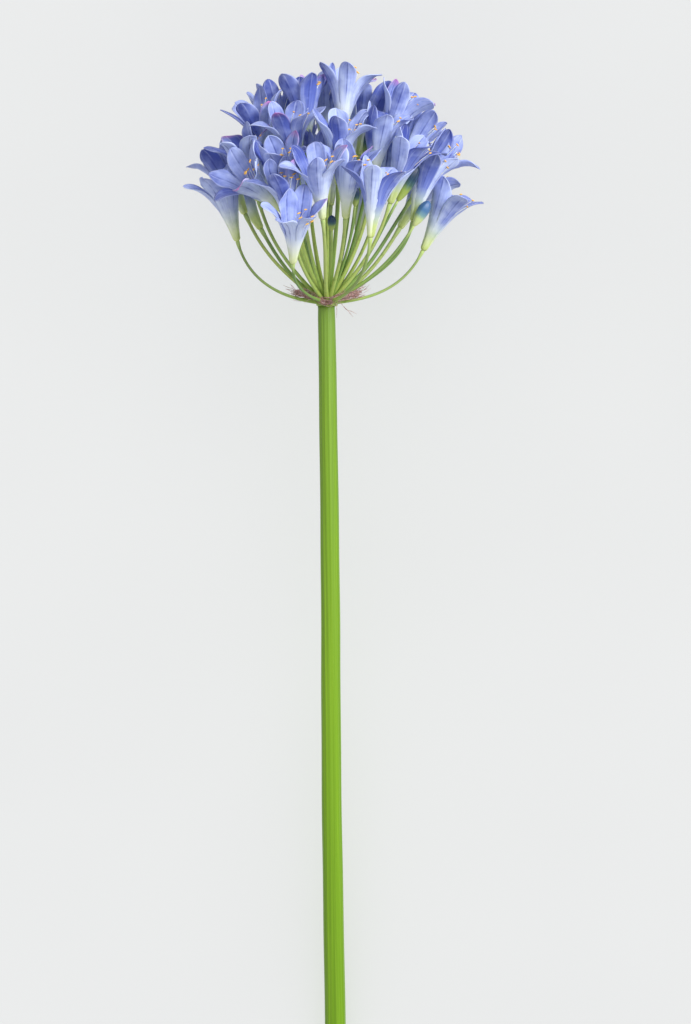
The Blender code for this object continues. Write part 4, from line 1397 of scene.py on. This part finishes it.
# %% Lights
# The ways lead from the flower head to the lights
KEY_WAY = (0.75, 0.3, 1.0)
KEY_DISTANCE = 1.6
KEY_SIZE = 0.8
KEY_POWER = 29.5
FILL_WAY = (-0.9, -0.2, 1.2)
FILL_DISTANCE = 1.8
FILL_SIZE = 1.6
FILL_POWER = 3
PAPER_LIGHT_HEIGHT = 1.5
PAPER_STRENGTH = 3.4
WORLD_STRENGTH = 0.58


def add_light(name, kind, way, distance, energy):
    """A light of this kind that looks at the flower head from one way."""
    light = bpy.data.lights.new(name, kind)
    light.energy = energy
    made = new_object(name, light)
    way = Vector(way).normalized()
    made.matrix_world = frame_along(way, plant @ DOME_CENTRE + way * distance)
    return made


paper_only = bpy.data.collections.new("paper_only")
paper_only.objects.link(floor)
all_but_paper = bpy.data.collections.new("all_but_paper")
all_but_paper.objects.link(floor)
all_but_paper.collection_objects[0].light_linking.link_state = "EXCLUDE"

key = add_light("key", "AREA", KEY_WAY, KEY_DISTANCE, KEY_POWER)
key.data.size = KEY_SIZE
key.light_linking.receiver_collection = all_but_paper
fill = add_light("fill", "AREA", FILL_WAY, FILL_DISTANCE, FILL_POWER)
fill.data.size = FILL_SIZE
fill.light_linking.receiver_collection = all_but_paper
paper_light = add_light("paper_light", "SUN", (0, 0, 1), PAPER_LIGHT_HEIGHT, PAPER_STRENGTH)
paper_light.data.use_shadow = False
paper_light.light_linking.receiver_collection = paper_only

world = bpy.data.worlds.new("studio")
world.use_nodes = True
background = world.node_tree.nodes["Background"]
set_inputs(world.node_tree, background, {"Color": "#FFFFFF", "Strength": WORLD_STRENGTH})
bpy.context.scene.world = world
bpy.context.scene.view_settings.view_transform = "Standard"
print("lights:", ", ".join(light.name for light in (key, fill, paper_light)))

# %% Camera
# How many pixels high the photograph's frame is, and what one of them measures on the plant
FRAME_PIXELS = 1024
PIXEL = 0.594 * MM
FRAME_CENTRE = Vector((11, 0, -123)) * MM
CAMERA_DISTANCE = 2.0
SENSOR = 36

# The frame is higher than it is wide, so its height decides the lens
camera_data = bpy.data.cameras.new("camera")
camera_data.sensor_width = SENSOR
camera_data.lens = SENSOR * CAMERA_DISTANCE / (FRAME_PIXELS * PIXEL)
camera = new_object("camera", camera_data)
facing = plant.to_3x3() @ Matrix(((1, 0, 0), (0, 0, -1), (0, 1, 0)))
eye = plant @ (FRAME_CENTRE + Vector((0, -CAMERA_DISTANCE, 0)))
camera.matrix_world = Matrix.Translation(eye) @ facing.to_4x4()
bpy.context.scene.camera = camera
print("lens in mm:", round(camera_data.lens, 1))
